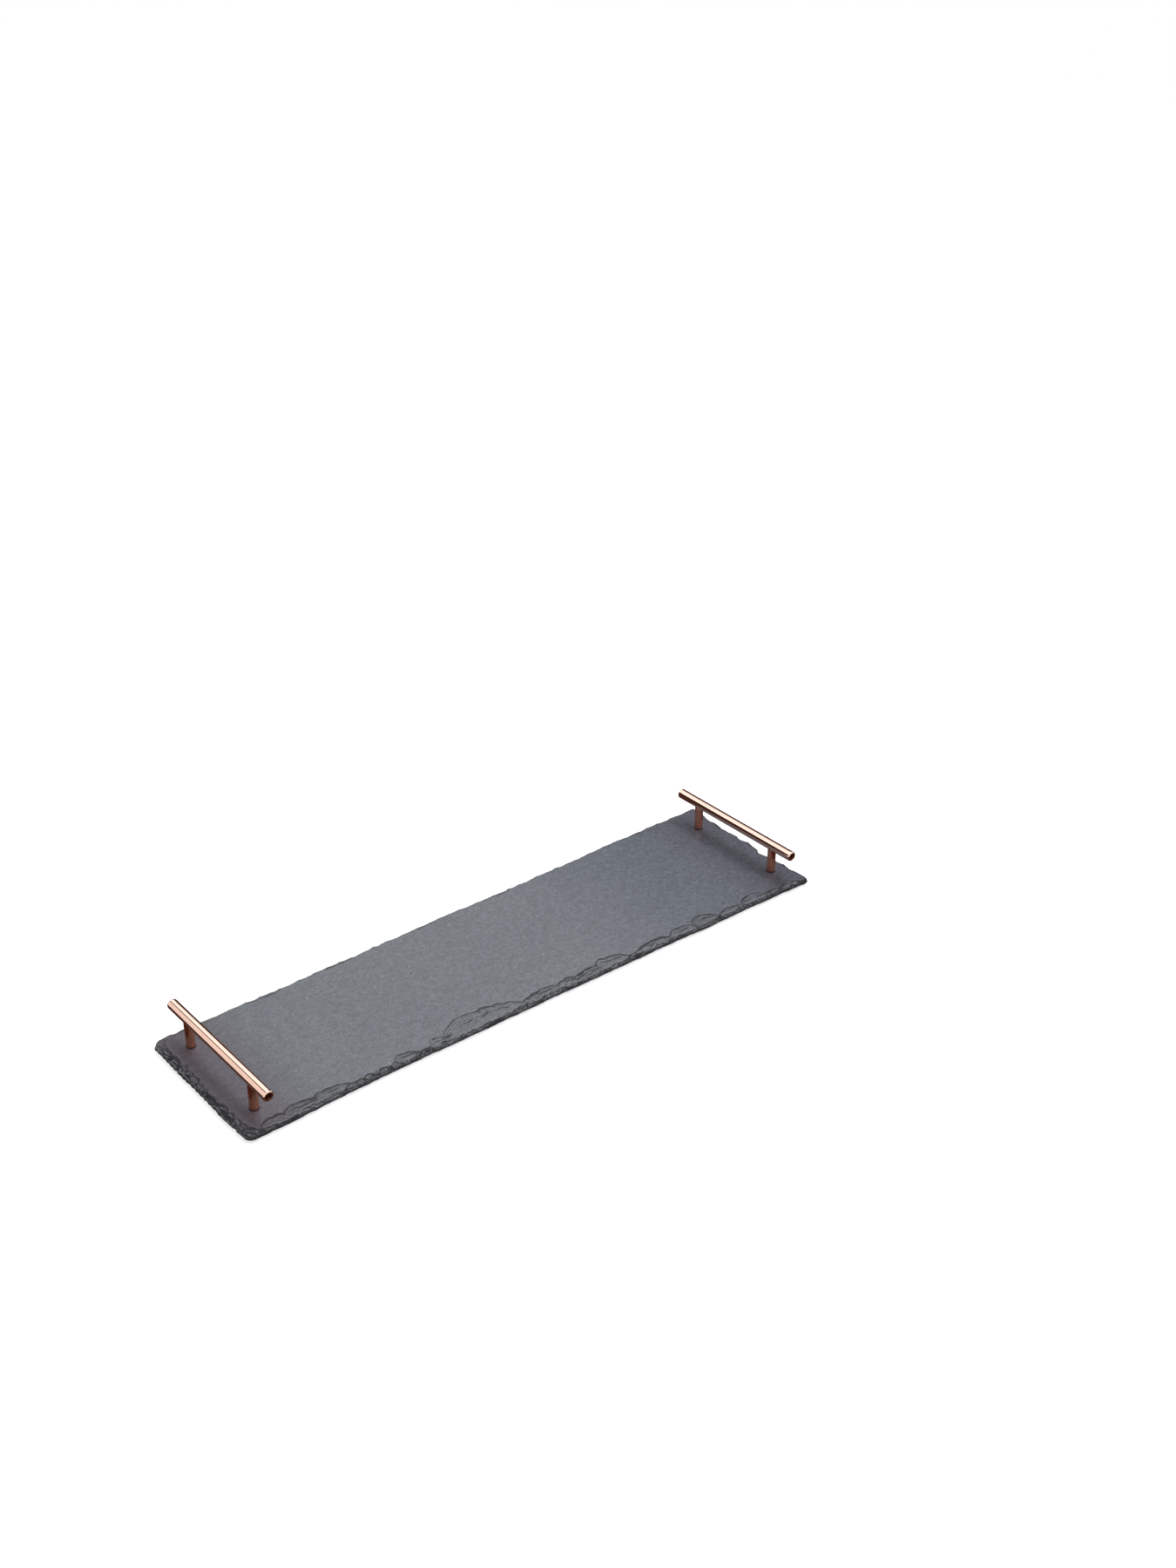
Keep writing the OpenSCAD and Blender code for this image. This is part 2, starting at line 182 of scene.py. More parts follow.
def base_line(i):
    """Rounded rectangle at places counted in ring steps: x, y, normal and shift, each an array."""
    i = np.mod(i, RING_N)
    part = np.searchsorted(STARTS, i, side="right") - 1
    k = i - STARTS[part]
    t = np.clip(np.where(np.isin(part, (0, 4)), k / LONG_STEPS, k / END_STEPS), 0, 1)
    out = np.zeros((6, len(i)))
    sx, sy = CORNER_X, CORNER_Y
    sides = (
        (STRAIGHT_L * t - IN_L, -HALF_W, 0, -1, mix(t, sx[3], sx[0]), -along(t, FRONT_WANDER)),
        (HALF_L, STRAIGHT_W * t - IN_W, 1, 0, along(t, RIGHT_WANDER), mix(t, sy[0], sy[1])),
        (IN_L - STRAIGHT_L * t, HALF_W, 0, 1, mix(t, sx[1], sx[2]), along(1 - t, BACK_WANDER)),
        (-HALF_L, IN_W - STRAIGHT_W * t, -1, 0, -along(1 - t, LEFT_WANDER), mix(t, sy[2], sy[3])))
    corners = (IN_L, -IN_W), (IN_L, IN_W), (-IN_L, IN_W), (-IN_L, -IN_W)
    for n, (values, (cx, cy)) in enumerate(zip(sides, corners)):
        pick = part == 2 * n
        for row, v in enumerate(values):
            out[row, pick] = np.broadcast_to(v, len(i))[pick]
        pick = part == 2 * n + 1
        a = np.radians(90 * n - 90 + 90 * k[pick] / CORNER_STEPS)
        out[:, pick] = [cx + CORNER_R * np.cos(a), cy + CORNER_R * np.sin(a),
                        np.cos(a), np.sin(a), sx[n] + 0 * a, sy[n] + 0 * a]
    return out


def ripple(i, table, turn):
    """Sum of the table's waves round the ring, each turned further by so many degrees."""
    return sum(s * np.sin(np.radians(360 * c * i / RING_N + p + turn * (j + 1)))
               for j, (c, p, s) in enumerate(zip(*table)))


def raw_point(i, inset):
    """Plan position before the outline is fitted to the board's length and width."""
    x, y, nx, ny, sx, sy = base_line(i)
    px = x - inset * nx + EDGE_WANDER * sx
    py = y - inset * ny + EDGE_WANDER * sy
    return px, py * (1 - END_TAPER / BOARD_W * (0.5 - px / BOARD_L))


def ring_waves(i):
    return EDGE_WAVE * ripple(i, WAVES, 0)


def ring_chips(i, z):
    level = np.interp(z, LEVEL_Z, range(5))
    return CHIP_WAVE * ripple(i, CHIPS, CHIP_TURN * level)


_i = np.arange(RING_N, dtype=float)
_x, _y = raw_point(_i, ring_waves(_i) + CHIP_WAVE * ripple(_i, CHIPS, CHIP_TURN))
FIT = ((_x.max() + _x.min()) / 2, (_y.max() + _y.min()) / 2,
       BOARD_L / (_x.max() - _x.min()), BOARD_W / (_y.max() - _y.min()))


def edge_point(i, inset):
    """Plan position at a place of the ring, that far inside the nominal line."""
    for place, push in CORNER_PUSH:
        away = np.abs(np.mod(i - place + RING_N / 2, RING_N) - RING_N / 2)
        inset = inset - push * np.clip(1 - away / CORNER_PUSH_HALF, 0, 1) ** 2
    x, y = raw_point(i, inset)
    x, y = (x - FIT[0]) * FIT[2], (y - FIT[1]) * FIT[3]
    return np.stack([np.clip(x, BOX_MARGIN - HALF_L, HALF_L - BOX_MARGIN),
                     np.clip(y, BOX_MARGIN - HALF_W, HALF_W - BOX_MARGIN)], -1)


# ---- flake scars
# Front edge: left end, apex and right end along X, apex in Y, step at the arc, drop at the edge,
# darkness of the painted shadow line along the arc left and right of its apex
FRONT_SCARS = [
    (-271, -257, -241, -65.5, 0.35, 2.2, 0.6, 1),
    (-265, -257, -249, -70.2, 0.3, 2.8, 0.5, 0.9),
    (-252, -240, -211, -63.4, 0.28, 1.7, 0.3, 1),
    (-228, -214, -189, -63, 0.22, 1.3, 0.6, 0.9),
    (-196, -186, -176, -69.2, 0.2, 1.4, 0.3, 0.7),
    (-185, -177, -169, -69.6, 0.32, 2, 0.5, 1),
    (-178, -158, -148, -71.9, 0.4, 2.4, 1, 0.8),
    (-152, -145, -128, -62.9, 0.26, 1.5, 0.2, 1),
    (-134, -124, -114, -69.3, 0.32, 2, 0.9, 0.9),
    (-119, -113, -100, -62.2, 0.2, 1.2, 0.1, 0.8),
    (-117, -100, -90, -66.3, 0.42, 2.2, 1, 0.5),
    (-106, -78, -27, -53, 0.26, 1.2, 0.3, 1),
    (-66, -48, -30, -66.5, 0.22, 1.5, 0.2, 0.6),
    (-37, -3, 8, -63.3, 0.3, 1.5, 0.9, 0.9),
    (3, 18, 27, -63.7, 0.3, 1.9, 0.9, 1),
    (17, 46, 53, -63.9, 0.38, 2.1, 1, 0.8),
    (45, 56, 81, -60.3, 0.28, 1.5, 0.3, 1),
    (50, 60, 67, -70.3, 0.35, 2.3, 1, 0.6),
    (83, 113, 124, -66.4, 0.36, 2.1, 0.9, 1),
    (123, 135, 154, -65.3, 0.3, 1.7, 0.5, 1),
    (143, 155, 166, -70.6, 0.35, 2.4, 0.9, 0.6),
    (149, 161, 178, -62.2, 0.26, 1.5, 0.3, 0.9),
    (177, 190, 207, -69.6, 0.3, 2, 0.4, 0.8),
    (203, 219, 233, -66, 0.34, 2.1, 0.7, 1),
    (208, 214, 230, -75, 0.5, 2.6, 1, 0.9),
    (227, 236, 254, -72, 0.4, 2.2, 0.6, 1),
    (230, 236, 247, -75.6, 0.5, 2.6, 1, 1),
    (244, 262, 281, -76.4, 0.4, 2.4, 0.9, 1),
]
# Ends and back edge: low end, apex and high end along the side, reach, step, drop, darkness of the
# painted shadow line
LEFT_SCARS = [
    (-72, -62, -50, 5.4, 0.5, 3.2, 0.9), (-55, -44, -33, 5.8, 0.4, 3, 0.9),
    (-40, -30, -18, 5, 0.4, 2.6, 0.8), (-20, -12, -4, 4.2, 0.35, 2.4, 0.7),
    (-6, 2, 9, 3.8, 0.3, 2.2, 0.7), (5, 13, 20, 4.8, 0.4, 2.6, 0.9),
    (14, 24, 34, 6.2, 0.45, 3.2, 1), (29, 38, 48, 7.2, 0.5, 3.4, 1),
    (42, 52, 60, 7, 0.4, 3.2, 0.8), (54, 63, 72, 6, 0.3, 2.4, 0.6),
]
RIGHT_SCARS = [
    (-74, -66, -55, 3.6, 0.15, 0.8, 0.5), (-58, -47, -36, 4.6, 0.2, 0.9, 0.6),
    (-20, -8, 4, 4, 0.2, 0.8, 0.5), (22, 33, 44, 4.6, 0.15, 0.9, 0.5),
    (58, 66, 75, 3.4, 0.2, 0.8, 0.6),
]
BACK_SCARS = [
    (-272, -252, -236, 5, 0.15, 0.8, 0.4), (-206, -184, -166, 6, 0.15, 0.7, 0.4),
    (-136, -112, -92, 5, 0.1, 0.6, 0.4), (-54, -30, -8, 4, 0.15, 0.7, 0.4),
    (28, 50, 72, 5, 0.1, 0.7, 0.4), (102, 126, 150, 4, 0.15, 0.6, 0.4),
    (184, 206, 226, 5, 0.15, 0.8, 0.5), (236, 248, 262, 3.6, 0.2, 0.9, 0.5),
]
# Corner scars: ring place, half widths, reach, step, drop, darkness of the painted shadow line
CORNER_SCARS = [
    (330, 10, 11, 9.6, 0.5, 3.4, 1), (134, 4, 4, 2.4, 0.9, 2.6, 1),
    (300, 9, 9, 9.4, 0.4, 2.8, 0.8),
]
# Bites of the outline: the right end's cusps along Y, then for each side the
# shortest and longest bite and the smallest and largest depth
RIGHT_CUSPS = [-64, -48, -33, -14, -1, 13, 28, 46, 62]
BITE_LENGTH = {"front": (6, 16), "right": (9, 15), "back": (9, 24), "left": (5, 10)}
BITE_DEPTH = {"front": (0.1, 0.5), "right": (0.9, 1.7), "back": (0.4, 1.5), "left": (0.4, 1)}
# Small scars: gap, ranges of half width, reach, step and drop; their size on the four sides
SMALL_SCARS = [(7, (4, 9), (3.6, 7.4), (0.15, 0.5), (1.6, 3.4)),
               (2.6, (1.2, 3.4), (2, 4.6), (0.1, 0.4), (1.2, 3.6))]
SMALL_SIZE = [0.85, 0.35, 0.35, 1.15]
OUTLINE_LENGTH = 1440
# First and last place of each side in the ring
SIDE_PLACES = {side: STARTS[2 * n:2 * n + 2]
               for n, side in enumerate(("front", "right", "back", "left"))}


def smooth_ring():
    """The widest line without its chips: ring places, points and tangents, for placing scars."""
    count = 4 * RING_N
    i = np.arange(count) * RING_N / count
    p = edge_point(i, ring_waves(i))
    reach = 10
    t = np.roll(p, -reach, 0) - np.roll(p, reach, 0)
    return i, p, t / np.linalg.norm(t, axis=1)[:, None]


S_I, S_P, S_T = smooth_ring()


def ring_index(side, value):
    """The smooth ring's point on a side, by its X or Y."""
    axis = 0 if side in ("front", "back") else 1
    low, high = SIDE_PLACES[side]
    pick = np.where((S_I >= low) & (S_I <= high))[0]
    return pick[np.argmin(abs(S_P[pick, axis] - value))]


def make_scars():
    """Rows of place, tangent, half widths before and after the apex, reach, step, drop, darkness
    of the painted shadow line before and after; and how many of them come from the lists above."""
    rows = []

    def put(j, *sizes):
        rows.append([*S_P[j], *S_T[j], *sizes])

    for low, apex, high, y, *rest in FRONT_SCARS:
        j = ring_index("front", apex)
        put(j, apex - low, high - apex, y - S_P[j, 1], *rest)
    for side, table, order in (("right", RIGHT_SCARS, 1), ("back", BACK_SCARS, -1),
                               ("left", LEFT_SCARS, -1)):
        for low, apex, high, *rest, dark in table:
            put(ring_index(side, apex), *(apex - low, high - apex)[::order], *rest, dark, dark)
    for place, *rest, dark in CORNER_SCARS:
        put(int(np.argmin(abs(S_I - place))), *rest, dark, dark)
    main = len(rows)
    spacing = OUTLINE_LENGTH / len(S_I)
    for gap, width, reach, step, drop in SMALL_SCARS:
        at = 0
        while at < len(S_I):
            w = RNG.uniform(*width)
            skew = RNG.uniform(0.6, 1.4)
            size = by_side(S_I[[int(at)]], SMALL_SIZE)[0]
            put(int(at), w * skew, w * (2 - skew), RNG.uniform(*reach) * size,
                RNG.uniform(*step) * size, RNG.uniform(*drop) * size,
                RNG.uniform(0.2, 0.8), RNG.uniform(0.4, 1))
            at += gap * RNG.uniform(0.6, 1.4) / spacing
    return np.array(rows), main


SCARS, MAIN_SCARS = make_scars()
# Each scar's own tone, painted in place of the light and shade of its facet
SCAR_TONE = RNG.uniform(-1, 1, len(SCARS))


def make_bites():
    """Ring places of the outline's cusps, and the depth of the bite after each."""
    cusps, depths = [], []
    for side, (low, high) in SIDE_PLACES.items():
        step = (high - low) / (STRAIGHT_L if side in ("front", "back") else STRAIGHT_W)
        if side == "right":
            places = [S_I[ring_index(side, y)] for y in RIGHT_CUSPS]
        else:
            places, at = [], low
            while at < high - 4 * step:
                places.append(at)
                at += RNG.uniform(*BITE_LENGTH[side]) * step
        cusps += places
        depths += list(RNG.uniform(*BITE_DEPTH[side], len(places)))
    return np.array(cusps, float), np.array(depths)


def bites(i):
    """Inset of the rounded bites between the outline's cusps."""
    i = np.mod(i - CUSPS[0], RING_N) + CUSPS[0]
    k = np.searchsorted(CUSPS, i, side="right") - 1
    ends = np.append(CUSPS[1:], CUSPS[0] + RING_N)
    t = (i - CUSPS[k]) / (ends[k] - CUSPS[k])
    return BITES[k] * (4 * t * (1 - t)) ** 0.7


CUSPS, BITES = make_bites()


def along_scar(s, k, size, seed, octaves=1):
    """Noise along the tangent of scar k, in stretches of about that size in mm."""
    return fbm(s / size, s * 0 + k, seed, octaves)


def scar_reach(k, s):
    """How far the arc of scar k lies from the edge at places s along its tangent."""
    before, after, reach = SCARS[k, 4:7]
    w = np.where(s < 0, -s / before, s / after)
    curve = np.sqrt(np.clip(1 - w * w, 0, 1))
    wobble = 0.07 * reach * along_scar(s, k, 4.5, 11) + 0.22 * along_scar(s, k, 1.7, 12)
    return np.maximum(reach * curve + wobble * curve, 0)


# How much wider the painted shadow lines of the listed scars are than those of the small ones
MAIN_LINE = 1.2
# Scars with a longer reach than this have faint rings
RING_REACH = 4


def losses(p):
    """At plan points: depth lost to scars, how broken, how dark with painted shade, and the scar's
    own tone.
    """
    depth, broken, dark, tone = np.zeros((4, len(p)))
    for k, row in enumerate(SCARS):
        x, y, tx, ty, before, after, reach, step, drop, dark_before, dark_after = row
        wide = max(before, after) + reach
        near = np.where((abs(p[:, 0] - x) < wide) & (abs(p[:, 1] - y) < wide))[0]
        if not len(near):
            continue
        q = p[near] - (x, y)
        s = q[:, 0] * tx + q[:, 1] * ty
        v = -q[:, 0] * ty + q[:, 1] * tx
        ok = (s > -before) & (s < after)
        near, s, v = near[ok], s[ok], v[ok]
        arc = scar_reach(k, s)
        ok = v < arc
        near, s, v, arc = near[ok], s[ok], v[ok], arc[ok]
        inner = arc - v
        # A step at the arc, a bowl that deepens towards the edge, and faint rings
        share = np.clip(inner / np.maximum(arc, 0.5), 0, 1)
        full = (arc / reach) ** 0.5
        ledge = step * smooth(-0.02, 0.16, inner) * (0.55 + 0.45 * full)
        bowl = (drop - step) * full * share ** 1.5
        rings = np.sin(inner * 2 * math.pi / (1.8 + 0.4 * (k % 4)))
        rings = 0.06 * rings * share * (1 - share) * 4
        d = ledge + bowl + rings * (reach > RING_REACH)
        # A painted shadow line of changing width along the arc below its step, and in the listed
        # scars a second one
        side = smooth(-0.15, 0.15, s / np.where(s < 0, before, after))
        side = mix(side, dark_before, dark_after)
        bold = side * (1 + 0.85 * along_scar(s, k, 5, 21, 2))
        grow = MAIN_LINE if k < MAIN_SCARS else 1
        line = 1 - smooth(0.35 + 0.7 * bold, 0.8 + 1.7 * bold, inner / grow)
        line = np.clip(1.6 * bold, 0, 1) * line * smooth(-0.02, 0.14, inner)
        if k < MAIN_SCARS:
            where = 0.42 * arc + 0.5 * along_scar(s, k, 5, 22)
            second = smooth(-0.15, 0.15, along_scar(s, k, 8, 23))
            line = np.maximum(line, side * second * (1 - smooth(0.35, 0.95, abs(inner - where))))
        # The deepest scar at a point counts
        dark[near] = np.where(d - depth[near] > 0.03, line, dark[near])
        tone[near] = np.where(d > depth[near], SCAR_TONE[k], tone[near])
        depth[near] = np.maximum(depth[near], d)
        broken[near] = np.maximum(broken[near], smooth(0, 0.2, inner))
    depth += broken * 0.08 * patches(p, 2.2, 2.2, 31)
    return depth, broken, dark, tone


POSTS = [(x, y) for x in (-HANDLE_X, HANDLE_X) for y in (FRONT_Y, BACK_Y)]


def from_posts(p):
    """Distance of plan points from the nearest post's axis."""
    return np.min([np.hypot(p[:, 0] - x, p[:, 1] - y) for x, y in POSTS], 0)


def relief(p):
    """The riven face's own gentle relief, downwards only, and level around the posts."""
    low = 0.5 + 0.5 * patches(p, 46, 30, 41)
    fine = 0.5 + 0.5 * patches(p, 9, 7, 45)
    return (0.16 * low + 0.03 * fine) * smooth(7, 24, from_posts(p))


# Dressed bevel on the front, right, back and left: its width, its drop at the rim, how stepped
# it is, how dark the painted shade lines along its rim and its top are, and how pitted it is
BEVEL_WIDE = [3.4, 1.3, 1.3, 5.6]
RIM_DROP = [4.3, 1.1, 1.1, 4.2]
STEPPED = [0.85, 0.3, 0.3, 1]
RIM_LINE = [0.3, 1, 0.8, 0.15]
BEVEL_LINE = [0.9, 0, 0, 0.5]
PITTED = [0, 0, 0, 1]
# Thickness of the slate's layers, and the most that is lost anywhere
LAYER = 1.25
DEEPEST = 4.9


def top_height(p, i, away):
    """The upper face at plan points, by nearest ring place and distance from the rim: height, how
    broken, how dark with painted shade, and tone."""
    depth, broken, dark, tone = losses(p)
    corner = 1 - 0.75 * (1 - smooth(0, 5, abs(i - CORNER_PUSH[0][0])))
    wide = by_side(i, BEVEL_WIDE) * corner * (1 + 0.6 * patches(p, 8, 8, 61, 2))
    drop = by_side(i, RIM_DROP) * corner * (1 + 0.3 * patches(p, 11, 11, 63, 2))
    ragged = away + 0.9 * patches(p, 3.4, 3.4, 64, 2) * smooth(0, 0.6, away)
    bevel = drop * (1 - np.clip(ragged / wide, 0, 1)) ** 1.1
    broken = np.maximum(broken, smooth(0.02, 0.3, bevel))
    depth = np.maximum(depth, bevel)
    # Painted shade: dark lines along the rim and along the top of the bevel, and black in the
    # bevel's pits
    rim_line = by_side(i, RIM_LINE) * (0.8 + 0.6 * patches(p, 5, 5, 69, 2))
    dark = np.maximum(dark, np.clip(rim_line, 0, 1) * (1 - smooth(0.3, 1, away)))
    crest = smooth(0.05, 0.25, bevel) * (1 - smooth(0.5, 1.1, bevel)) * (bevel >= depth)
    crest = by_side(i, BEVEL_LINE) * crest * (0.8 + 0.7 * patches(p, 6, 6, 72, 2))
    pits = smooth(0, 0.22, patches(p, 3.4, 7.5, 73)) * smooth(0.9, 1.6, away)
    pits = by_side(i, PITTED) * pits * (1 - smooth(3.2, 4.4, away))
    dark = np.maximum(dark, np.clip(np.maximum(crest, pits), 0, 1))
    depth = depth + 0.7 * pits
    # Slate breaks in level treads and steep risers
    offset = 0.5 * patches(p, 9, 9, 67, 2) + 0.3 * patches(p, 2.6, 2.6, 68, 1)
    layers = depth / LAYER + offset
    whole = np.floor(layers)
    treads = LAYER * (whole + smooth(0.5, 0.85, layers - whole) - offset)
    depth = mix(by_side(i, STEPPED) * smooth(0.5, 1.5, depth), depth, treads)
    depth = np.clip(depth, 0, DEEPEST)
    return TOP_Z - depth - relief(p), broken, dark, tone


# ---- slate mesh
WALL_ROWS = 7
# How far the lowest wall row is set in
LOWEST_INSET = 0.2
# Spacing along the rim, how often its height is found again, and points round each hole
RIM_SPACING, RIM_ROUNDS, HOLE_POINTS = 0.62, 8, 48
# Arc points: gap at the arc's ends, spacing, and how far beyond the arc
ARC_END, ARC_SPACING, ARC_OFFSETS = 0.3, 0.55, (0.08, -0.17, -0.75)
# Their least distance from the rim, from each other and from the grids
ARC_TO_RIM, ARC_TO_ARC, ARC_TO_GRID = 0.35, 0.13, 0.34
# Grids of the upper face: spacing, and from which to which distance from the rim
GRIDS = [(0.64, 0.34, 8), (1.35, 8, 21), (2.6, 21, 200)]
# Grid of the underside
UNDER_GRID = (np.arange(-270, 271, 12), np.arange(-60, 61, 10))
# How far the grids stay clear of bores and recesses
BORE_CLEAR, RECESS_CLEAR = 0.5, 2


def wall_inset(i, z, p):
    """Inset of the broken wall from the nominal line at heights z."""
    slope = np.interp(z, LEVEL_Z, LEVEL_INSET) * EDGE_SLOPE * by_side(i, SIDE_SLOPE)
    rough = 0.25 * (0.5 + 0.5 * fbm(p[:, 0] / 3.2, p[:, 1] / 3.2 + z * 0.9, 51))
    fine = 0.1 * noise(p[:, 0] / 0.9, p[:, 1] / 0.9 + z * 1.7, 57)
    return slope + ring_waves(i) + ring_chips(i, z) + bites(i) + rough + fine


def ring_places():
    """Ring places of the fine outline, about evenly spaced."""
    corner = (CORNER_R * math.pi / 2, CORNER_STEPS)
    spans = [(STRAIGHT_L, LONG_STEPS), corner, (STRAIGHT_W, END_STEPS), corner] * 2
    out = []
    for n, (length, steps) in enumerate(spans):
        count = int(round(length / RIM_SPACING))
        out.append(STARTS[n] + np.arange(count) * steps / count)
    return np.concatenate(out)


def inside(loop, points):
    """Which plan points lie inside a closed line."""
    a, b = loop, np.roll(loop, -1, 0)
    run = (b[:, 0] - a[:, 0]) / np.where(a[:, 1] == b[:, 1], 1, b[:, 1] - a[:, 1])
    out = np.zeros(len(points), bool)
    for n, (x, y) in enumerate(points):
        cross = (a[:, 1] > y) != (b[:, 1] > y)
        out[n] = (a[cross, 0] + (y - a[cross, 1]) * run[cross] > x).sum() % 2 == 1
    return out


def delaunay(points, loops):
    """Triangles over plan points, inside the first loop and outside the others."""
    edges = [(loop[k], loop[(k + 1) % len(loop)]) for loop in loops for k in range(len(loop))]
    verts, _, faces, origin, _, _ = delaunay_2d_cdt(
        [Vector(q) for q in points.tolist()], edges, [], 0, 1e-7)
    back = np.array([min(o) if o else -1 for o in origin])
    if (back < 0).any():
        raise RuntimeError("the slate's outline crosses itself")
    tri = back[np.array([list(f) for f in faces])]
    tri = tri[(tri[:, 0] != tri[:, 1]) & (tri[:, 1] != tri[:, 2]) & (tri[:, 2] != tri[:, 0])]
    doubt = np.where(np.isin(tri, loops[0]).all(1))[0]
    keep = np.ones(len(tri), bool)
    keep[doubt] = inside(points[loops[0]], points[tri[doubt]].mean(1))
    for loop in loops[1:]:
        keep &= ~np.isin(tri, loop).all(1)
    return tri[keep]


def tree_of(points):
    tree = kdtree.KDTree(len(points))
    for n, q in enumerate(points):
        tree.insert((q[0], q[1], 0), n)
    tree.balance()
    return tree


def nearest(tree, points):
    """For each point, the number of the tree's nearest point and the distance to it."""
    found = np.array([tree.find((q[0], q[1], 0))[1:] for q in points])
    return found[:, 0].astype(int), found[:, 1]


def arc_points():
    """Points along the arcs of the larger scars, so that their steps come out crisp."""
    out = []
    for k, (x, y, tx, ty, before, after) in enumerate(SCARS[:MAIN_SCARS, :6]):
        s = np.arange(-before + ARC_END, after - ARC_END, ARC_SPACING)
        arc = scar_reach(k, s)
        place, t, n = np.array([(x, y), (tx, ty), (-ty, tx)])
        for offset in ARC_OFFSETS:
            out.append(place + s[:, None] * t + (arc + offset)[:, None] * n)
    return np.concatenate(out)


def discs(r):
    """Points round the four posts' axes, at that radius."""
    a = np.arange(HOLE_POINTS) * 2 * math.pi / HOLE_POINTS
    return np.concatenate([np.stack([x + r * np.cos(a), y + r * np.sin(a)], -1) for x, y in POSTS])


def from_rim(points, rim, inward, tree):
    """Distance of plan points from the rim, or -1 where they lie outside it."""
    j, away = nearest(tree, points)
    return np.where(((points - rim[j]) * inward[j]).sum(1) > 0, away, -1)


def scatter(spacing, low, high, *rim):
    """Jittered grid points whose distance from the rim lies between low and high."""
    xs = np.arange(-HALF_L, HALF_L, spacing)
    ys = np.arange(-HALF_W, HALF_W, spacing * 0.87)
    x, y = np.meshgrid(xs, ys)
    x = x + (np.arange(len(ys)) % 2)[:, None] * spacing / 2
    p = np.stack([x.ravel(), y.ravel()], -1)
    p += RNG.uniform(-0.2, 0.2, p.shape) * spacing
    # A first choice by the distance from the box, which spares the slower search
    rough = np.minimum(HALF_L - abs(p[:, 0]), HALF_W - abs(p[:, 1]))
    p = p[(rough > low - 1) & (rough < high + 12)]
    away = from_rim(p, *rim)
    return p[(away >= low) & (away < high)]


def inner_points(rim, inward, tree):
    """Points of the upper face inside the rim: along the scars' arcs, and grids between them."""
    arcs = arc_points()
    arcs = arcs[from_rim(arcs, rim, inward, tree) > ARC_TO_RIM]
    crowd = tree_of(arcs)
    keep = np.ones(len(arcs), bool)
    for a, q in enumerate(arcs):
        if keep[a]:
            for _, b, _ in crowd.find_range((q[0], q[1], 0), ARC_TO_ARC):
                if b > a:
                    keep[b] = False
    arcs = arcs[keep]
    grid = np.concatenate([scatter(*sizes, rim, inward, tree) for sizes in GRIDS])
    free = nearest(tree_of(arcs), grid)[1] > ARC_TO_GRID
    clear = from_posts(grid) > BORE_R + BORE_CLEAR
    points = np.concatenate([arcs, grid[free & clear]])
    return points[inside(rim, points)]


def hollows(z, tri):
    """How far each point lies in a hollow (above 0) or on a crest (below 0), close by and wider."""
    a, b, size = tri.T.ravel(), np.roll(tri, -1, 1).T.ravel(), len(z)
    count = np.maximum(np.bincount(a, minlength=size) + np.bincount(b, minlength=size), 1)

    def spread(values):
        return (np.bincount(a, values[b], size) + np.bincount(b, values[a], size)) / count

    close = spread(z)
    wide = spread(spread(spread(close)))
    return (close - z) / 0.15 + (wide - z) / 0.45


def steepness(xy, z, tri):
    """How steep the surface is at each point, from 0, level, to 1, upright."""
    p = np.column_stack([xy, z])
    normals = np.cross(p[tri[:, 1]] - p[tri[:, 0]], p[tri[:, 2]] - p[tri[:, 0]])
    total = np.zeros_like(p)
    for corner in range(3):
        for axis in range(3):
            total[:, axis] += np.bincount(tri[:, corner], normals[:, axis], minlength=len(p))
    return 1 - abs(total[:, 2]) / np.maximum(np.linalg.norm(total, axis=1), 1e-9)


# Middle of the paler corner, and from which distance to which it fades
PALE_CORNER, PALE_REACH = (-282, 72), (6, 24)
# From which steepness to which a riser darkens with painted shade
STEEP = (0.24, 0.52)


def lift(xy, z):
    return np.column_stack([xy, np.broadcast_to(z, len(xy))])


def strip(a, b):
    """Two triangles between neighbouring points of two closed rows."""
    a2, b2 = np.roll(a, -1), np.roll(b, -1)
    return np.concatenate([np.stack([a, b, a2], -1), np.stack([a2, b, b2], -1)])


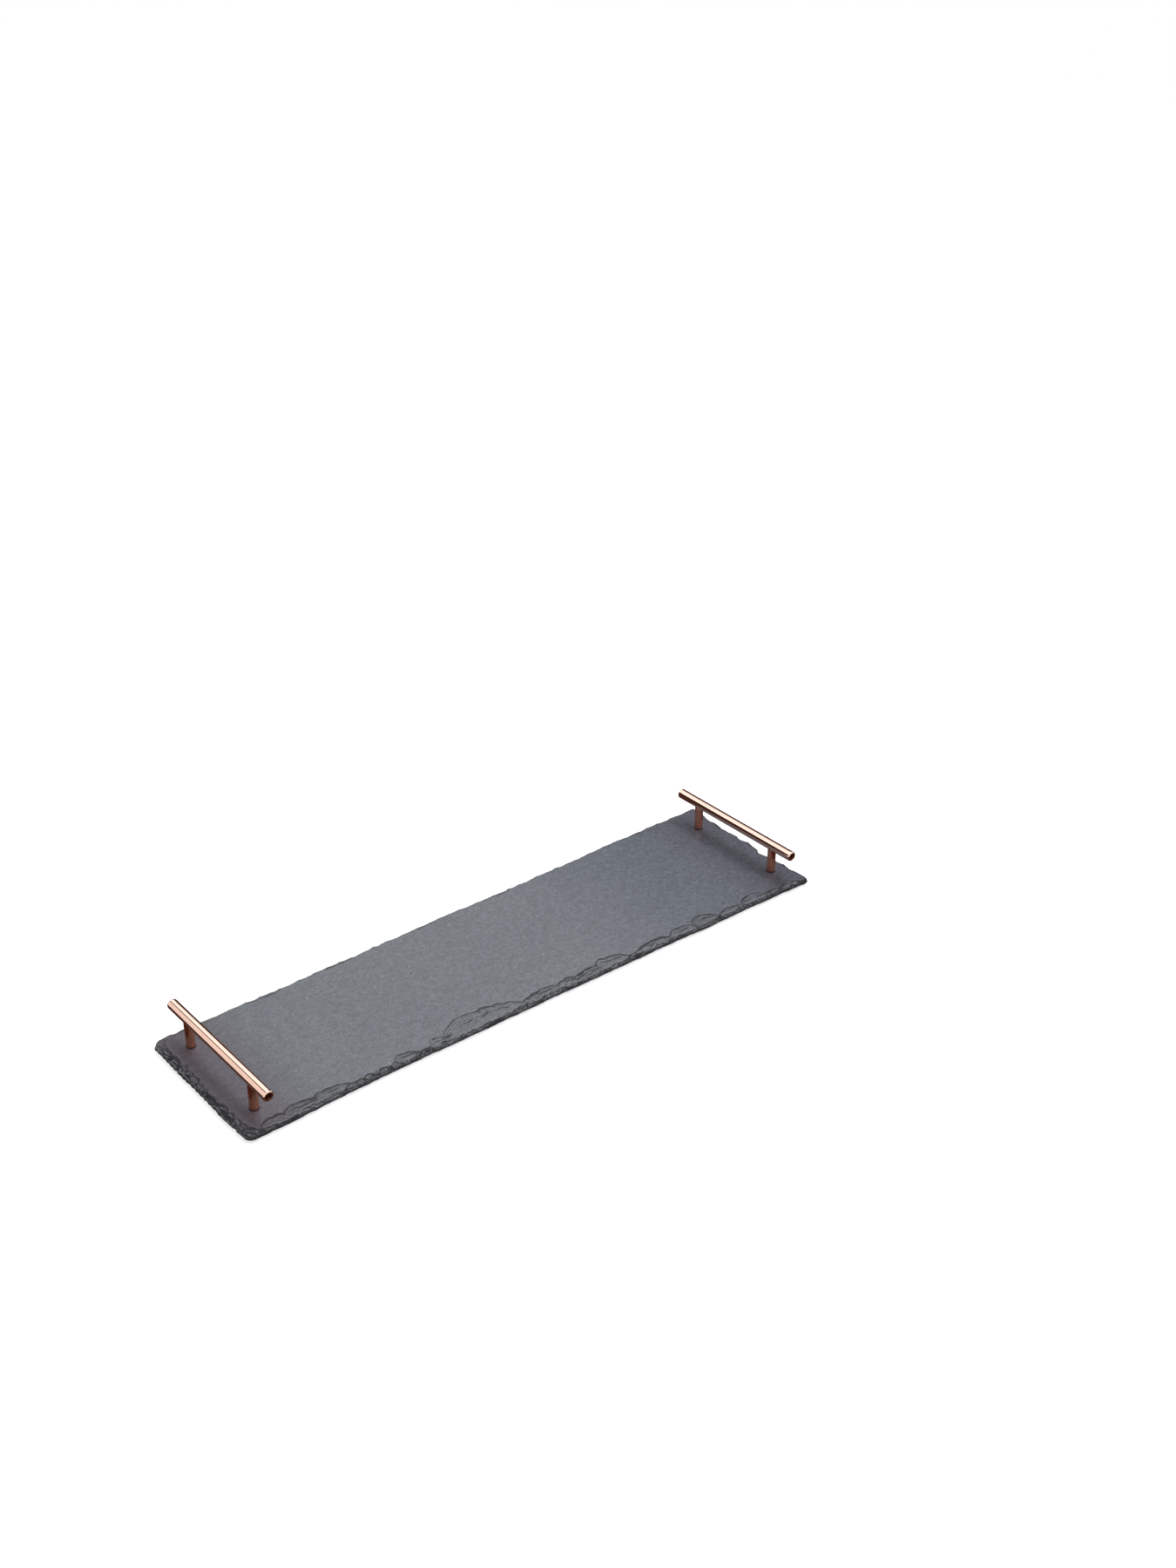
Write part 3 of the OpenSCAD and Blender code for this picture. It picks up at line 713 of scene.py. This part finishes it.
def make_slate():
    """The dressed slate: its points, its triangles, and the values that its material reads."""
    i = ring_places()
    n = len(i)
    nominal = edge_point(i, ring_waves(i))
    rim_z = TOP_Z - by_side(i, RIM_DROP)
    for _ in range(RIM_ROUNDS):
        rim = edge_point(i, wall_inset(i, rim_z, nominal))
        rim_z = 0.5 * rim_z + 0.5 * top_height(rim, i, np.zeros(n))[0]
    rim = edge_point(i, wall_inset(i, rim_z, nominal))
    tangent = np.roll(rim, -1, 0) - np.roll(rim, 1, 0)
    inward = np.stack([-tangent[:, 1], tangent[:, 0]], -1)
    tree = tree_of(rim)

    # Upper face: the rim, the four bores, then the inner points
    top = np.concatenate([rim, discs(BORE_R), inner_points(rim, inward, tree)])
    holes = np.arange(len(POSTS) * HOLE_POINTS).reshape(len(POSTS), -1)
    loops = [list(range(n))] + (n + holes).tolist()
    top_tri = delaunay(top, loops)
    j, away = nearest(tree, top)
    top_z, top_broken, top_dark, top_tone = top_height(top, i[j], away)
    top_z[:n] = rim_z
    top_z[n:n + holes.size] = TOP_Z
    hollow = hollows(top_z, top_tri)

    # Wall rows from the rim down to the underside
    rows_xy, rows_z = [], []
    for k in range(1, WALL_ROWS + 1):
        z = rim_z + (SLAB_Z - rim_z) * (k / WALL_ROWS)
        inset = wall_inset(i, z, nominal) + LOWEST_INSET * (k == WALL_ROWS)
        rows_xy.append(edge_point(i, inset))
        rows_z.append(z)

    # Underside: the lowest row, the four recesses, then a grid
    grid = np.stack(np.meshgrid(*UNDER_GRID), -1).reshape(-1, 2)
    grid = grid[from_posts(grid) > RECESS_R + RECESS_CLEAR]
    under = np.concatenate([rows_xy[-1], discs(RECESS_R), grid])
    under_tri = delaunay(under, loops)

    blocks = [lift(top, top_z), lift(np.concatenate(rows_xy), np.concatenate(rows_z)),
              lift(under[n:], SLAB_Z), lift(discs(RECESS_R), SEAT_Z), lift(discs(BORE_R), SEAT_Z)]
    starts = np.cumsum([0] + [len(b) for b in blocks])
    verts = np.concatenate(blocks)
    faces = [top_tri]
    upper = np.arange(n)
    for k in range(WALL_ROWS):
        lower = starts[1] + k * n + np.arange(n)
        faces.append(strip(upper, lower))
        upper = lower
    to_global = np.concatenate([upper, starts[2] + np.arange(len(under) - n)])
    faces.append(to_global[under_tri][:, ::-1])
    for ring in holes:
        # Edge of the recess, outer and inner edge of its seat, mouth of the bore
        rings = [starts[2] + ring, starts[3] + ring, starts[4] + ring, n + ring]
        faces += [strip(a, b)[:, ::-1] for a, b in zip(rings, rings[1:])]

    broken, dark, light, wall, tone = np.zeros((5, len(verts)))
    face, span = slice(0, len(top)), slice(starts[1], starts[2])
    broken[face], tone[face] = top_broken, top_tone
    # Painted shade on steep risers and in hollows, and painted highlights on crests
    riser = smooth(*STEEP, steepness(top, top_z, top_tri)) * top_broken
    riser = riser * np.clip(0.62 + 0.9 * patches(top, 6.5, 6.5, 71), 0, 1)
    dark[face] = np.clip(top_dark + np.clip(hollow, 0, 1) + riser, 0, 1)
    light[face] = np.clip(-hollow, 0, 1) * top_broken
    wall[:n] = 0.5
    broken[span], wall[span] = 1, 1
    # The corner between the left end and the back edge is broken into paler faces
    x, y = PALE_CORNER
    pale = 1 - smooth(*PALE_REACH, np.hypot(verts[:, 0] - x, verts[:, 1] - y))
    dark, wall = dark * (1 - 0.6 * pale), wall * (1 - 0.55 * pale)
    light = np.maximum(light, 0.4 * pale * broken * (1 - dark))
    values = dict(broken=broken, dark=dark, light=light, wall=wall, tone=tone)
    return verts, np.concatenate(faces), values


def shade(mesh, sharp):
    """Smooth shading, with edges sharp from that angle on."""
    mesh.polygons.foreach_set("use_smooth", [True] * len(mesh.polygons))
    if sharp is not None:
        mesh.set_sharp_from_angle(angle=math.radians(sharp))


def link(name, verts, faces, sharp=None):
    """New object in the scene, from points in mm."""
    mesh = bpy.data.meshes.new(name)
    faces = faces.tolist() if isinstance(faces, np.ndarray) else faces
    mesh.from_pydata((np.asarray(verts) * MM).tolist(), [], faces)
    shade(mesh, sharp)
    obj = bpy.data.objects.new(name, mesh)
    bpy.context.scene.collection.objects.link(obj)
    return obj


def add_values(obj, values):
    for name, data in values.items():
        layer = obj.data.attributes.new(name, "FLOAT", "POINT")
        layer.data.foreach_set("value", np.asarray(data, np.float32))


# ---- bars and posts
# Points round bar, bore and post, angles of sharp edges, and depth of the bar's end faces
BAR_POINTS, BORE_POINTS, POST_POINTS = 128, 48, 96
METAL_SHARP, SLATE_SHARP = 30, 42
END_SUNK = 0.55


def turned(profile, count, place, axis_y=False):
    """Closed solid turned from a profile of (radius, height) that starts and ends on the axis."""
    verts, faces = [(0, 0, profile[0][1])], []
    turn = np.arange(count) * 2 * math.pi / count
    for r, h in profile[1:-1]:
        verts += [(r * math.cos(t), r * math.sin(t), h) for t in turn]
    verts.append((0, 0, profile[-1][1]))
    rows = len(profile) - 2
    for k in range(count):
        k2 = (k + 1) % count
        faces.append((0, 1 + k2, 1 + k))
        for r in range(rows - 1):
            a, b = 1 + r * count, 1 + (r + 1) * count
            faces.append((a + k, a + k2, b + k2, b + k))
        top = 1 + (rows - 1) * count
        faces.append((top + k, top + k2, len(verts) - 1))
    v = np.array(verts)
    if axis_y:
        v = np.stack([v[:, 0], v[:, 2], -v[:, 1]], -1)
    return v + np.array(place), faces


def bar_profile():
    """One end of the bar's profile: sunk end face, narrow flat, rounded chamfer."""
    h, r, c = BAR_L / 2, BAR_R, BAR_CHAMFER
    face, sunk = r - c, h - END_SUNK
    return [(0, sunk), (face - 1.25, sunk), (face - 1.1, h - 0.5), (face - 0.95, h - 0.08),
            (face - 0.85, h - 0.015), (face - 0.7, h), (face - 0.12, h), (face, h - 0.03),
            (face + 0.1, h - 0.11), (r - 0.12, h - c + 0.1), (r - 0.03, h - c), (r, h - c - 0.12)]


def make_bar(name, x):
    """Bar with the two bores that take its studs."""
    end = bar_profile()
    barrel = [(BAR_R, y) for y in np.linspace(BAR_L / 2 - 2, -BAR_L / 2 + 2, 25)]
    profile = end + barrel + [(r, -h) for r, h in reversed(end)]
    v, f = turned(profile[::-1], BAR_POINTS, (x, HANDLE_MID_Y, AXIS_Z), axis_y=True)
    obj = link(name, v, f, METAL_SHARP)
    low, high = AXIS_Z - 2 * BAR_R, STUD_TOP_Z
    bore = [(0, low), (TAPPED_R, low), (TAPPED_R, high), (0, high)]
    cutters = []
    for n, y in enumerate((FRONT_Y, BACK_Y)):
        cutters.append(link(f"{name}_cut_{n}", *turned(bore, BORE_POINTS, (x, y, 0))))
        mod = obj.modifiers.new(f"bore_{n}", "BOOLEAN")
        mod.operation, mod.object, mod.solver = "DIFFERENCE", cutters[n], "EXACT"
    bpy.context.view_layer.update()
    made = bpy.data.meshes.new_from_object(
        obj.evaluated_get(bpy.context.evaluated_depsgraph_get()))
    obj.modifiers.clear()
    obj.data = made
    made.name = name
    shade(made, METAL_SHARP)
    for cutter in cutters:
        bpy.data.objects.remove(cutter)
    return obj


def make_post(name, x, y):
    """Post with a hollow top that fits the bar, and a bore through it."""
    count = POST_POINTS
    a = np.arange(count) * 2 * math.pi / count
    c, s = np.cos(a), np.sin(a)

    def ring(r, z):
        return np.stack([x + r * c, y + r * s, z + 0 * c], -1)

    def saddle(r):
        return AXIS_Z - np.sqrt(BAR_R ** 2 - (r * c) ** 2)

    # From the bore's foot out over the chamfer, up the side and over the hollow top to the bore
    inner, low = POST_R - POST_CHAMFER, POST_Z + POST_CHAMFER
    rows = [ring(TAPPED_R, POST_Z), ring(inner - 0.02, POST_Z), ring(inner + 0.06, POST_Z + 0.03),
            ring(POST_R - 0.05, low - 0.05), ring(POST_R, low + 0.08)]
    rows += [ring(POST_R, mix(f, low, saddle(POST_R) - 0.1)) for f in np.linspace(0.1, 0.9, 9)]
    rows += [ring(POST_R, saddle(POST_R) - 0.1),
             ring(POST_R - 0.03, saddle(POST_R - 0.03) - 0.02)]
    rows += [ring(r, saddle(r)) for r in (3.2, 2.6, TAPPED_R)]
    faces = []
    for r in range(len(rows)):
        p, q = r * count, ((r + 1) % len(rows)) * count
        for k in range(count):
            k2 = (k + 1) % count
            faces.append((p + k, p + k2, q + k2, q + k))
    return link(name, np.concatenate(rows), faces, METAL_SHARP)


# ---- materials
class Nodes:
    """Short way to build the nodes of a material or of the world."""

    def __init__(self, owner, out="OutputMaterial"):
        self.owner = owner
        owner.use_nodes = True
        self.tree = owner.node_tree
        self.tree.nodes.clear()
        self.out = self.add(out)

    def add(self, kind, inputs=None, **settings):
        node = self.tree.nodes.new("ShaderNode" + kind)
        for key, value in settings.items():
            setattr(node, key, value)
        for key, value in (inputs or {}).items():
            self.put(node, key, value)
        return node

    def put(self, node, key, value):
        socket = node.inputs[key]
        if isinstance(value, bpy.types.NodeSocket):
            self.tree.links.new(value, socket)
        elif socket.type == "RGBA":
            socket.default_value = (*value, 1)
        else:
            socket.default_value = value

    def math(self, op, a, b=0):
        return self.add("Math", {0: a, 1: b}, operation=op).outputs[0]

    def times(self, a, b):
        return self.math("MULTIPLY", a, b)

    def plus(self, a, b):
        return self.math("ADD", a, b)

    def ramp(self, value, low, high, to_low=0, to_high=1):
        return self.add("MapRange", {"Value": value, "From Min": low, "From Max": high,
                                     "To Min": to_low, "To Max": to_high},
                        clamp=True).outputs["Result"]

    def blend(self, factor, a, b, mode="MIX"):
        node = self.add("Mix", {0: factor}, data_type="RGBA", blend_type=mode, clamp_factor=True)
        colours = [k for k, s in enumerate(node.inputs) if s.type == "RGBA"]
        for key, value in zip(colours, (a, b)):
            self.put(node, key, value)
        return next(s for s in node.outputs if s.type == "RGBA")

    def tint(self, colour, by):
        return self.blend(1, colour, by, "MULTIPLY")

    def noise(self, place, scale, detail=2, rough=0.5, distort=0):
        return self.add("TexNoise", {"Vector": place, "Scale": scale, "Detail": detail,
                                     "Roughness": rough, "Distortion": distort}).outputs["Fac"]

    def place(self, scale=(1, 1, 1)):
        coord = self.add("TexCoord").outputs["Object"]
        return self.add("Mapping", {"Vector": coord, "Scale": scale}).outputs["Vector"]

    def value(self, name):
        return self.add("Attribute", attribute_name=name).outputs["Fac"]

    def bump(self, height, strength, distance, **under):
        return self.add("Bump", {"Height": height, "Strength": strength, "Distance": distance,
                                 **under}).outputs["Normal"]

    def shown(self):
        """1 for the camera's rays, also beyond mirrors and clear things, and otherwise 0."""
        ray = self.add("LightPath").outputs
        beyond = self.math("MAXIMUM", ray["Is Glossy Ray"], ray["Is Transmission Ray"])
        return self.math("MAXIMUM", ray["Is Camera Ray"], beyond)

    def show(self, shader):
        self.tree.links.new(shader.outputs[0], self.out.inputs["Surface"])
        return self.owner

    def surface(self, **inputs):
        inputs = {key.replace("_", " "): value for key, value in inputs.items()}
        return self.show(self.add("BsdfPrincipled", inputs))


def new_material(name):
    return Nodes(bpy.data.materials.new(name))


# The slate's colours, its painted shade towards the right, and its painted shadow and copper
# reflection round the handles
FACE_LOW, FACE_HIGH = (0.181, 0.198, 0.227), (0.198, 0.213, 0.238)
SHARD, WALL, WALL_BARE = (0.176, 0.184, 0.203), (0.042, 0.045, 0.052), (0.125, 0.132, 0.148)
# Of the next line's colours, the last two are a painted highlight on crests and the black of
# painted shade in lines, risers, pits and hollows
SPECK, CREST_HIGHLIGHT, PAINTED_SHADE_BLACK = (0.45, 0.45, 0.45), (0.36, 0.37, 0.39), (0.01, 0.01, 0.013)
RIGHT_SHADE_TINT, BAR_SHADOW_TINT = (0.6, 0.63, 0.7), (0.7, 0.59, 0.64)


def slate_material():
    m = new_material("slate")
    here = m.place()
    x = m.add("SeparateXYZ", {0: here}).outputs[0]
    broken, dark, light, wall, tone = map(m.value, ("broken", "dark", "light", "wall", "tone"))
    cloud = m.noise(here, 14, 3, 0.55, 0.4)
    patch = m.noise(m.place((0.75, 1, 1)), 330, 3, 0.7)
    grain = m.noise(here, 800, 3, 0.7)
    colour = m.blend(m.ramp(cloud, 0.3, 0.7), FACE_LOW, FACE_HIGH)
    colour = m.tint(colour, m.times(m.ramp(patch, 0.32, 0.68, 0.8, 1.2),
                                    m.ramp(grain, 0.32, 0.68, 0.72, 1.28)))
    # Coarser towards the right
    coarse = m.times(m.math("SUBTRACT", m.noise(here, 330, 2, 0.6), 0.5),
                     m.ramp(x, 0.05, 0.25, 0, 1.1))
    colour = m.tint(colour, m.plus(coarse, 1))
    # Light specks, few and small
    cell = m.add("TexVoronoi", {"Vector": here, "Scale": 200, "Randomness": 1}).outputs
    chosen = m.add("SeparateColor", {"Color": cell["Color"]}).outputs[0]
    spot = m.times(m.ramp(cell["Distance"], 0.1, 0.24, 1, 0),
                   m.math("GREATER_THAN", chosen, 0.9))
    colour = m.blend(m.times(spot, 0.6), colour, SPECK)
    # Broken faces: streaks along the layers, each scar with a tone of its own, painted in place of
    # the light and shade of its differently turned facet
    layers = m.noise(m.place((1, 1, 4)), 420, 4, 0.7)
    shard = m.tint(SHARD, m.ramp(layers, 0.35, 0.65, 0.6, 1.4))
    shard = m.tint(shard, m.ramp(tone, -1, 1, 0.82, 1.16))
    colour = m.blend(m.times(broken, 0.8), colour, shard)
    # The wall: dark and streaked, with bare patches
    blotch = m.noise(m.place((1, 1, 2.5)), 230, 3, 0.6)
    side = m.tint(WALL, m.times(m.ramp(layers, 0.35, 0.65, 0.35, 1.8),
                                m.ramp(blotch, 0.38, 0.62, 0.35, 1.9)))
    bare = m.times(m.ramp(m.noise(here, 95, 3, 0.65), 0.46, 0.6), m.ramp(layers, 0.42, 0.55))
    colour = m.blend(wall, colour, m.blend(bare, side, WALL_BARE))
    # Darker and bluer towards the right, a painted falloff of the light; warm and dark round the
    # handles, a painted shadow of the bars with their copper reflection
    along_x = m.plus(x, m.times(cloud, 0.05))
    colour = m.blend(m.ramp(along_x, 0.08, 0.26), colour, m.tint(colour, RIGHT_SHADE_TINT))
    from_bar = m.math("ABSOLUTE", m.math("SUBTRACT", m.math("ABSOLUTE", x), 0.266))
    bar_shadow = m.times(m.ramp(from_bar, 0.012, 0.055, 1, 0), m.ramp(x, -0.1, 0.1, 1, 0.55))
    colour = m.blend(bar_shadow, colour, m.tint(colour, BAR_SHADOW_TINT))
    # Painted highlights on crests, and painted shade in shadow lines, risers, pits and hollows
    colour = m.blend(m.times(light, 0.55), colour, CREST_HIGHLIGHT)
    colour = m.blend(m.times(dark, 0.92), colour, PAINTED_SHADE_BLACK)
    rough = m.plus(m.ramp(cloud, 0.3, 0.7, 0.44, 0.5), m.times(broken, 0.22))
    texture = m.plus(m.times(grain, 0.5), m.times(m.noise(here, 130, 3), 0.6))
    normal = m.bump(texture, 0.35, 0.00015)
    normal = m.bump(m.times(layers, broken), 0.6, 0.00025, Normal=normal)
    return m.surface(Base_Color=colour, Roughness=rough, Normal=normal)


def copper_material(name, base, rough_low, rough_high):
    m = new_material(name)
    here = m.place()
    haze = m.noise(here, 60, 3, 0.6)
    pores = m.noise(here, 900, 2, 0.6)
    hazy = tuple(c * f for c, f in zip(base, (0.98, 0.95, 0.93)))
    colour = m.blend(m.ramp(haze, 0.3, 0.7), base, hazy)
    rough = m.plus(m.ramp(haze, 0.3, 0.7, rough_low, rough_high),
                   m.ramp(pores, 0.6, 0.8, 0, 0.05))
    return m.surface(Base_Color=colour, Metallic=1, Roughness=rough,
                     Normal=m.bump(pores, 0.06, 0.00002))


def steel_material():
    m = new_material("steel")
    turn = m.noise(m.place((1, 1, 12)), 700, 3, 0.6)
    cloud = m.ramp(m.noise(m.place(), 200), 0.3, 0.7)
    colour = m.blend(cloud, (0.55, 0.55, 0.56), (0.66, 0.66, 0.67))
    return m.surface(Base_Color=colour, Metallic=1, Roughness=m.ramp(turn, 0.3, 0.7, 0.22, 0.38),
                     Normal=m.bump(turn, 0.15, 0.00004))


def rubber_material(name, colour):
    m = new_material(name)
    here = m.place()
    dust = m.noise(here, 350, 4, 0.7)
    grain = m.noise(here, 1600, 2, 0.6)
    dusty = m.blend(m.ramp(dust, 0.35, 0.75), colour, tuple(c * 1.7 + 0.01 for c in colour))
    return m.surface(Base_Color=dusty, Roughness=m.ramp(dust, 0.3, 0.7, 0.55, 0.75),
                     Normal=m.bump(grain, 0.3, 0.00005))


SLATE = slate_material()
BAR_COPPER = copper_material("bar_copper", (0.955, 0.67, 0.56), 0.05, 0.09)
POST_COPPER = copper_material("post_copper", (0.88, 0.4, 0.26), 0.08, 0.14)
END_COPPER = copper_material("end_copper", (0.24, 0.1, 0.06), 0.22, 0.32)
STEEL = steel_material()
GASKET_RUBBER = rubber_material("gasket_rubber", (0.02, 0.017, 0.016))
FOOT_RUBBER = rubber_material("foot_rubber", (0.035, 0.035, 0.037))

# ---- the object's pieces
slate_verts, slate_faces, slate_values = make_slate()
slate = link("slate_dressed", slate_verts, slate_faces, SLATE_SHARP)
add_values(slate, slate_values)
slate.data.materials.append(SLATE)
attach(slate, "root")
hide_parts("slate_slab")

for side, x in (("left", -HANDLE_X), ("right", HANDLE_X)):
    bar = make_bar(f"{side}_bar_polished", x)
    bar.data.materials.clear()
    bar.data.materials.append(BAR_COPPER)
    bar.data.materials.append(END_COPPER)
    # The sunk end faces are darker and duller
    for face in bar.data.polygons:
        away = abs(face.center[1] / MM - HANDLE_MID_Y)
        from_axis = math.hypot(face.center[0] / MM - x, face.center[2] / MM - AXIS_Z)
        sunk = away > BAR_L / 2 - END_SUNK - 0.02 and from_axis < BAR_R - BAR_CHAMFER - 0.9
        face.material_index = int(sunk)
    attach(bar, "root")
    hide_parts(f"{side}_bar")
    for end, y in (("front", FRONT_Y), ("back", BACK_Y)):
        post = make_post(f"{side}_post_{end}_turned", x, y)
        post.data.materials.append(POST_COPPER)
        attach(post, "root")
        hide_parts(f"{side}_post_{end}")

# The part's own nodes, by a word in their names
NODE_LOOKS = {"screw": STEEL, "washer": STEEL, "stud": STEEL, "gasket": GASKET_RUBBER,
              "foot": FOOT_RUBBER, "slab": SLATE, "bar": BAR_COPPER, "post": POST_COPPER}
for name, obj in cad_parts.items():
    obj.data.materials.clear()
    obj.data.materials.append(next(look for word, look in NODE_LOOKS.items() if word in name))

# ---- studio
# Lights in metres: place, target, size, radiance, and whether diffuse rays see them. The key comes
# from the right and makes the soft shadows under the bars, and only metal sees the side card.
LIGHTS = {"key": ((0.8, 0, 2.2), (0.8, 0, 0), (1.4, 2.6), 2.8, True),
          "ceiling": ((0.23, 0.775, 1.25), (0.23, 0.775, 0), (2.94, 3.65), 0.38, True),
          "side_card": ((1.02, 1.5, 0.96), (1.02, 0, 0.96), (0.36, 0.52), 1.2, False)}
AMBIENT = 0.12
# The floor in mm, not centred, so that the seam of its triangles doesn't run below the board. The
# camera and mirrors see it glow, more from the first to the second distance in metres
FLOOR_COLOUR = (0.8, 0.8, 0.8)
FLOOR_X, FLOOR_Y = 4000, (-3000, 6000)
FLOOR_GLOW, FLOOR_GLOW_REACH = (0.72, 1), (0.45, 0.95)
# Flags and cards in mm: the walls, the floor's flags, and a pale card with a dark strip above it
LEFT, RIGHT, FRONT, BACK = -1500, 1600, -400, 2600
TOP, RIGHT_TOP = 1500, 2900
FLAG_LEFT, FLAG_SPLIT = -400, 260
CARD, STRIP = (-330, -60, -330, 360, 20, 190), (-330, -60, -330, 604, 190, 530)
# Colour and radiance of each kind
WARM, PALE = (1, 0.48, 0.36), (1, 0.97, 0.95)
FLAG_LOOKS = {"flag_wall": (WARM, 0.05), "flag_floor": (WARM, 0.065), "flag_strip": (WARM, 0.02),
              "card": (PALE, 0.95)}
# Height of the floor's flags, the opening in them under the board, and the floor's light there,
# which only diffuse rays see
FLAG_Z = 1.5
UNDER_X, UNDER_Y = 282, 74
UNDER_LIGHT = 0.6
WHITE = (1, 1, 1)


def area_light(name, place, toward, size, radiance, diffuse):
    data = bpy.data.lights.new(name, "AREA")
    data.shape = "RECTANGLE"
    data.size, data.size_y = size
    data.energy = radiance * math.pi * size[0] * size[1]
    obj = bpy.data.objects.new(name, data)
    obj.location = place
    obj.rotation_mode = "QUATERNION"
    obj.rotation_quaternion = (Vector(toward) - Vector(place)).to_track_quat("-Z", "Y")
    obj.visible_camera = False
    obj.visible_diffuse = diffuse
    bpy.context.scene.collection.objects.link(obj)


def make_world():
    """White to the camera and to polished metal, dim to everything else."""
    world = bpy.data.worlds.new("studio")
    bpy.context.scene.world = world
    m = Nodes(world, "OutputWorld")
    strength = m.ramp(m.shown(), 0, 1, AMBIENT, 1)
    m.show(m.add("Background", {"Color": WHITE, "Strength": strength}))


def quad(name, corners, material):
    obj = link(name, corners, [(0, 1, 2, 3)])
    obj.data.materials.append(material)
    return obj


def flat(x0, x1, y0, y1, z=FLAG_Z):
    return [(x0, y0, z), (x1, y0, z), (x1, y1, z), (x0, y1, z)]


def upright(x0, y0, x1, y1, z0, z1):
    return [(x0, y0, z0), (x1, y1, z0), (x1, y1, z1), (x0, y0, z1)]


def make_floor():
    m = new_material("floor")
    here = m.add("NewGeometry").outputs
    away = m.add("VectorMath", {0: here["Position"]}, operation="LENGTH").outputs["Value"]
    glow = m.times(m.shown(), m.ramp(away, *FLOOR_GLOW_REACH, *FLOOR_GLOW))
    spot = m.add("SeparateXYZ", {0: here["Position"]}).outputs
    under = m.times(m.math("LESS_THAN", m.math("ABSOLUTE", spot[0]), UNDER_X * MM),
                    m.math("LESS_THAN", m.math("ABSOLUTE", spot[1]), UNDER_Y * MM))
    under = m.times(m.times(under, m.add("LightPath").outputs["Is Diffuse Ray"]), UNDER_LIGHT)
    light = m.add("Emission", {"Color": WHITE, "Strength": m.plus(glow, under)})
    lit = m.add("AddShader", {0: m.add("BsdfDiffuse", {"Color": FLOOR_COLOUR}).outputs[0],
                              1: light.outputs[0]})
    # From below the floor can't be seen
    m.show(m.add("MixShader", {0: here["Backfacing"], 1: lit.outputs[0],
                               2: m.add("BsdfTransparent").outputs[0]}))
    floor = quad("floor", flat(-FLOOR_X, FLOOR_X, *FLOOR_Y, 0), m.owner)


def make_flags():
    """Dark and pale cards of the studio, which only polished metal sees."""
    looks = {}
    for name, (colour, strength) in FLAG_LOOKS.items():
        m = new_material(name)
        looks[name] = m.show(m.add("Emission", {"Color": colour, "Strength": strength}))
    wall, low = looks["flag_wall"], looks["flag_floor"]
    flags = {
        "flag_left": (wall, upright(LEFT, FRONT, LEFT, BACK, 0, TOP)),
        "flag_back": (wall, upright(LEFT, BACK, RIGHT, BACK, 0, TOP)),
        "flag_right": (wall, upright(RIGHT, BACK, RIGHT, FRONT, 0, RIGHT_TOP)),
        "flag_floor_left": (low, flat(FLAG_LEFT, -UNDER_X, FRONT, FLAG_SPLIT)),
        "flag_floor_front": (low, flat(-UNDER_X, UNDER_X, FRONT, -UNDER_Y)),
        "flag_floor_middle": (low, flat(-UNDER_X, UNDER_X, UNDER_Y, FLAG_SPLIT)),
        "flag_floor_right": (low, flat(UNDER_X, RIGHT, FRONT, FLAG_SPLIT)),
        "flag_floor_back": (low, flat(LEFT, RIGHT, FLAG_SPLIT, BACK)),
        "flag_strip": (looks["flag_strip"], upright(*STRIP)),
        "card": (looks["card"], upright(*CARD)),
    }
    for name, (material, corners) in flags.items():
        flag = quad(name, corners, material)
        flag.visible_camera = flag.visible_diffuse = False
        flag.visible_transmission = flag.visible_shadow = False


for name, settings in LIGHTS.items():
    area_light(name, *settings)
make_world()
make_floor()
make_flags()
bpy.context.scene.view_settings.view_transform = "Standard"

# ---- end
bpy.context.view_layer.update()
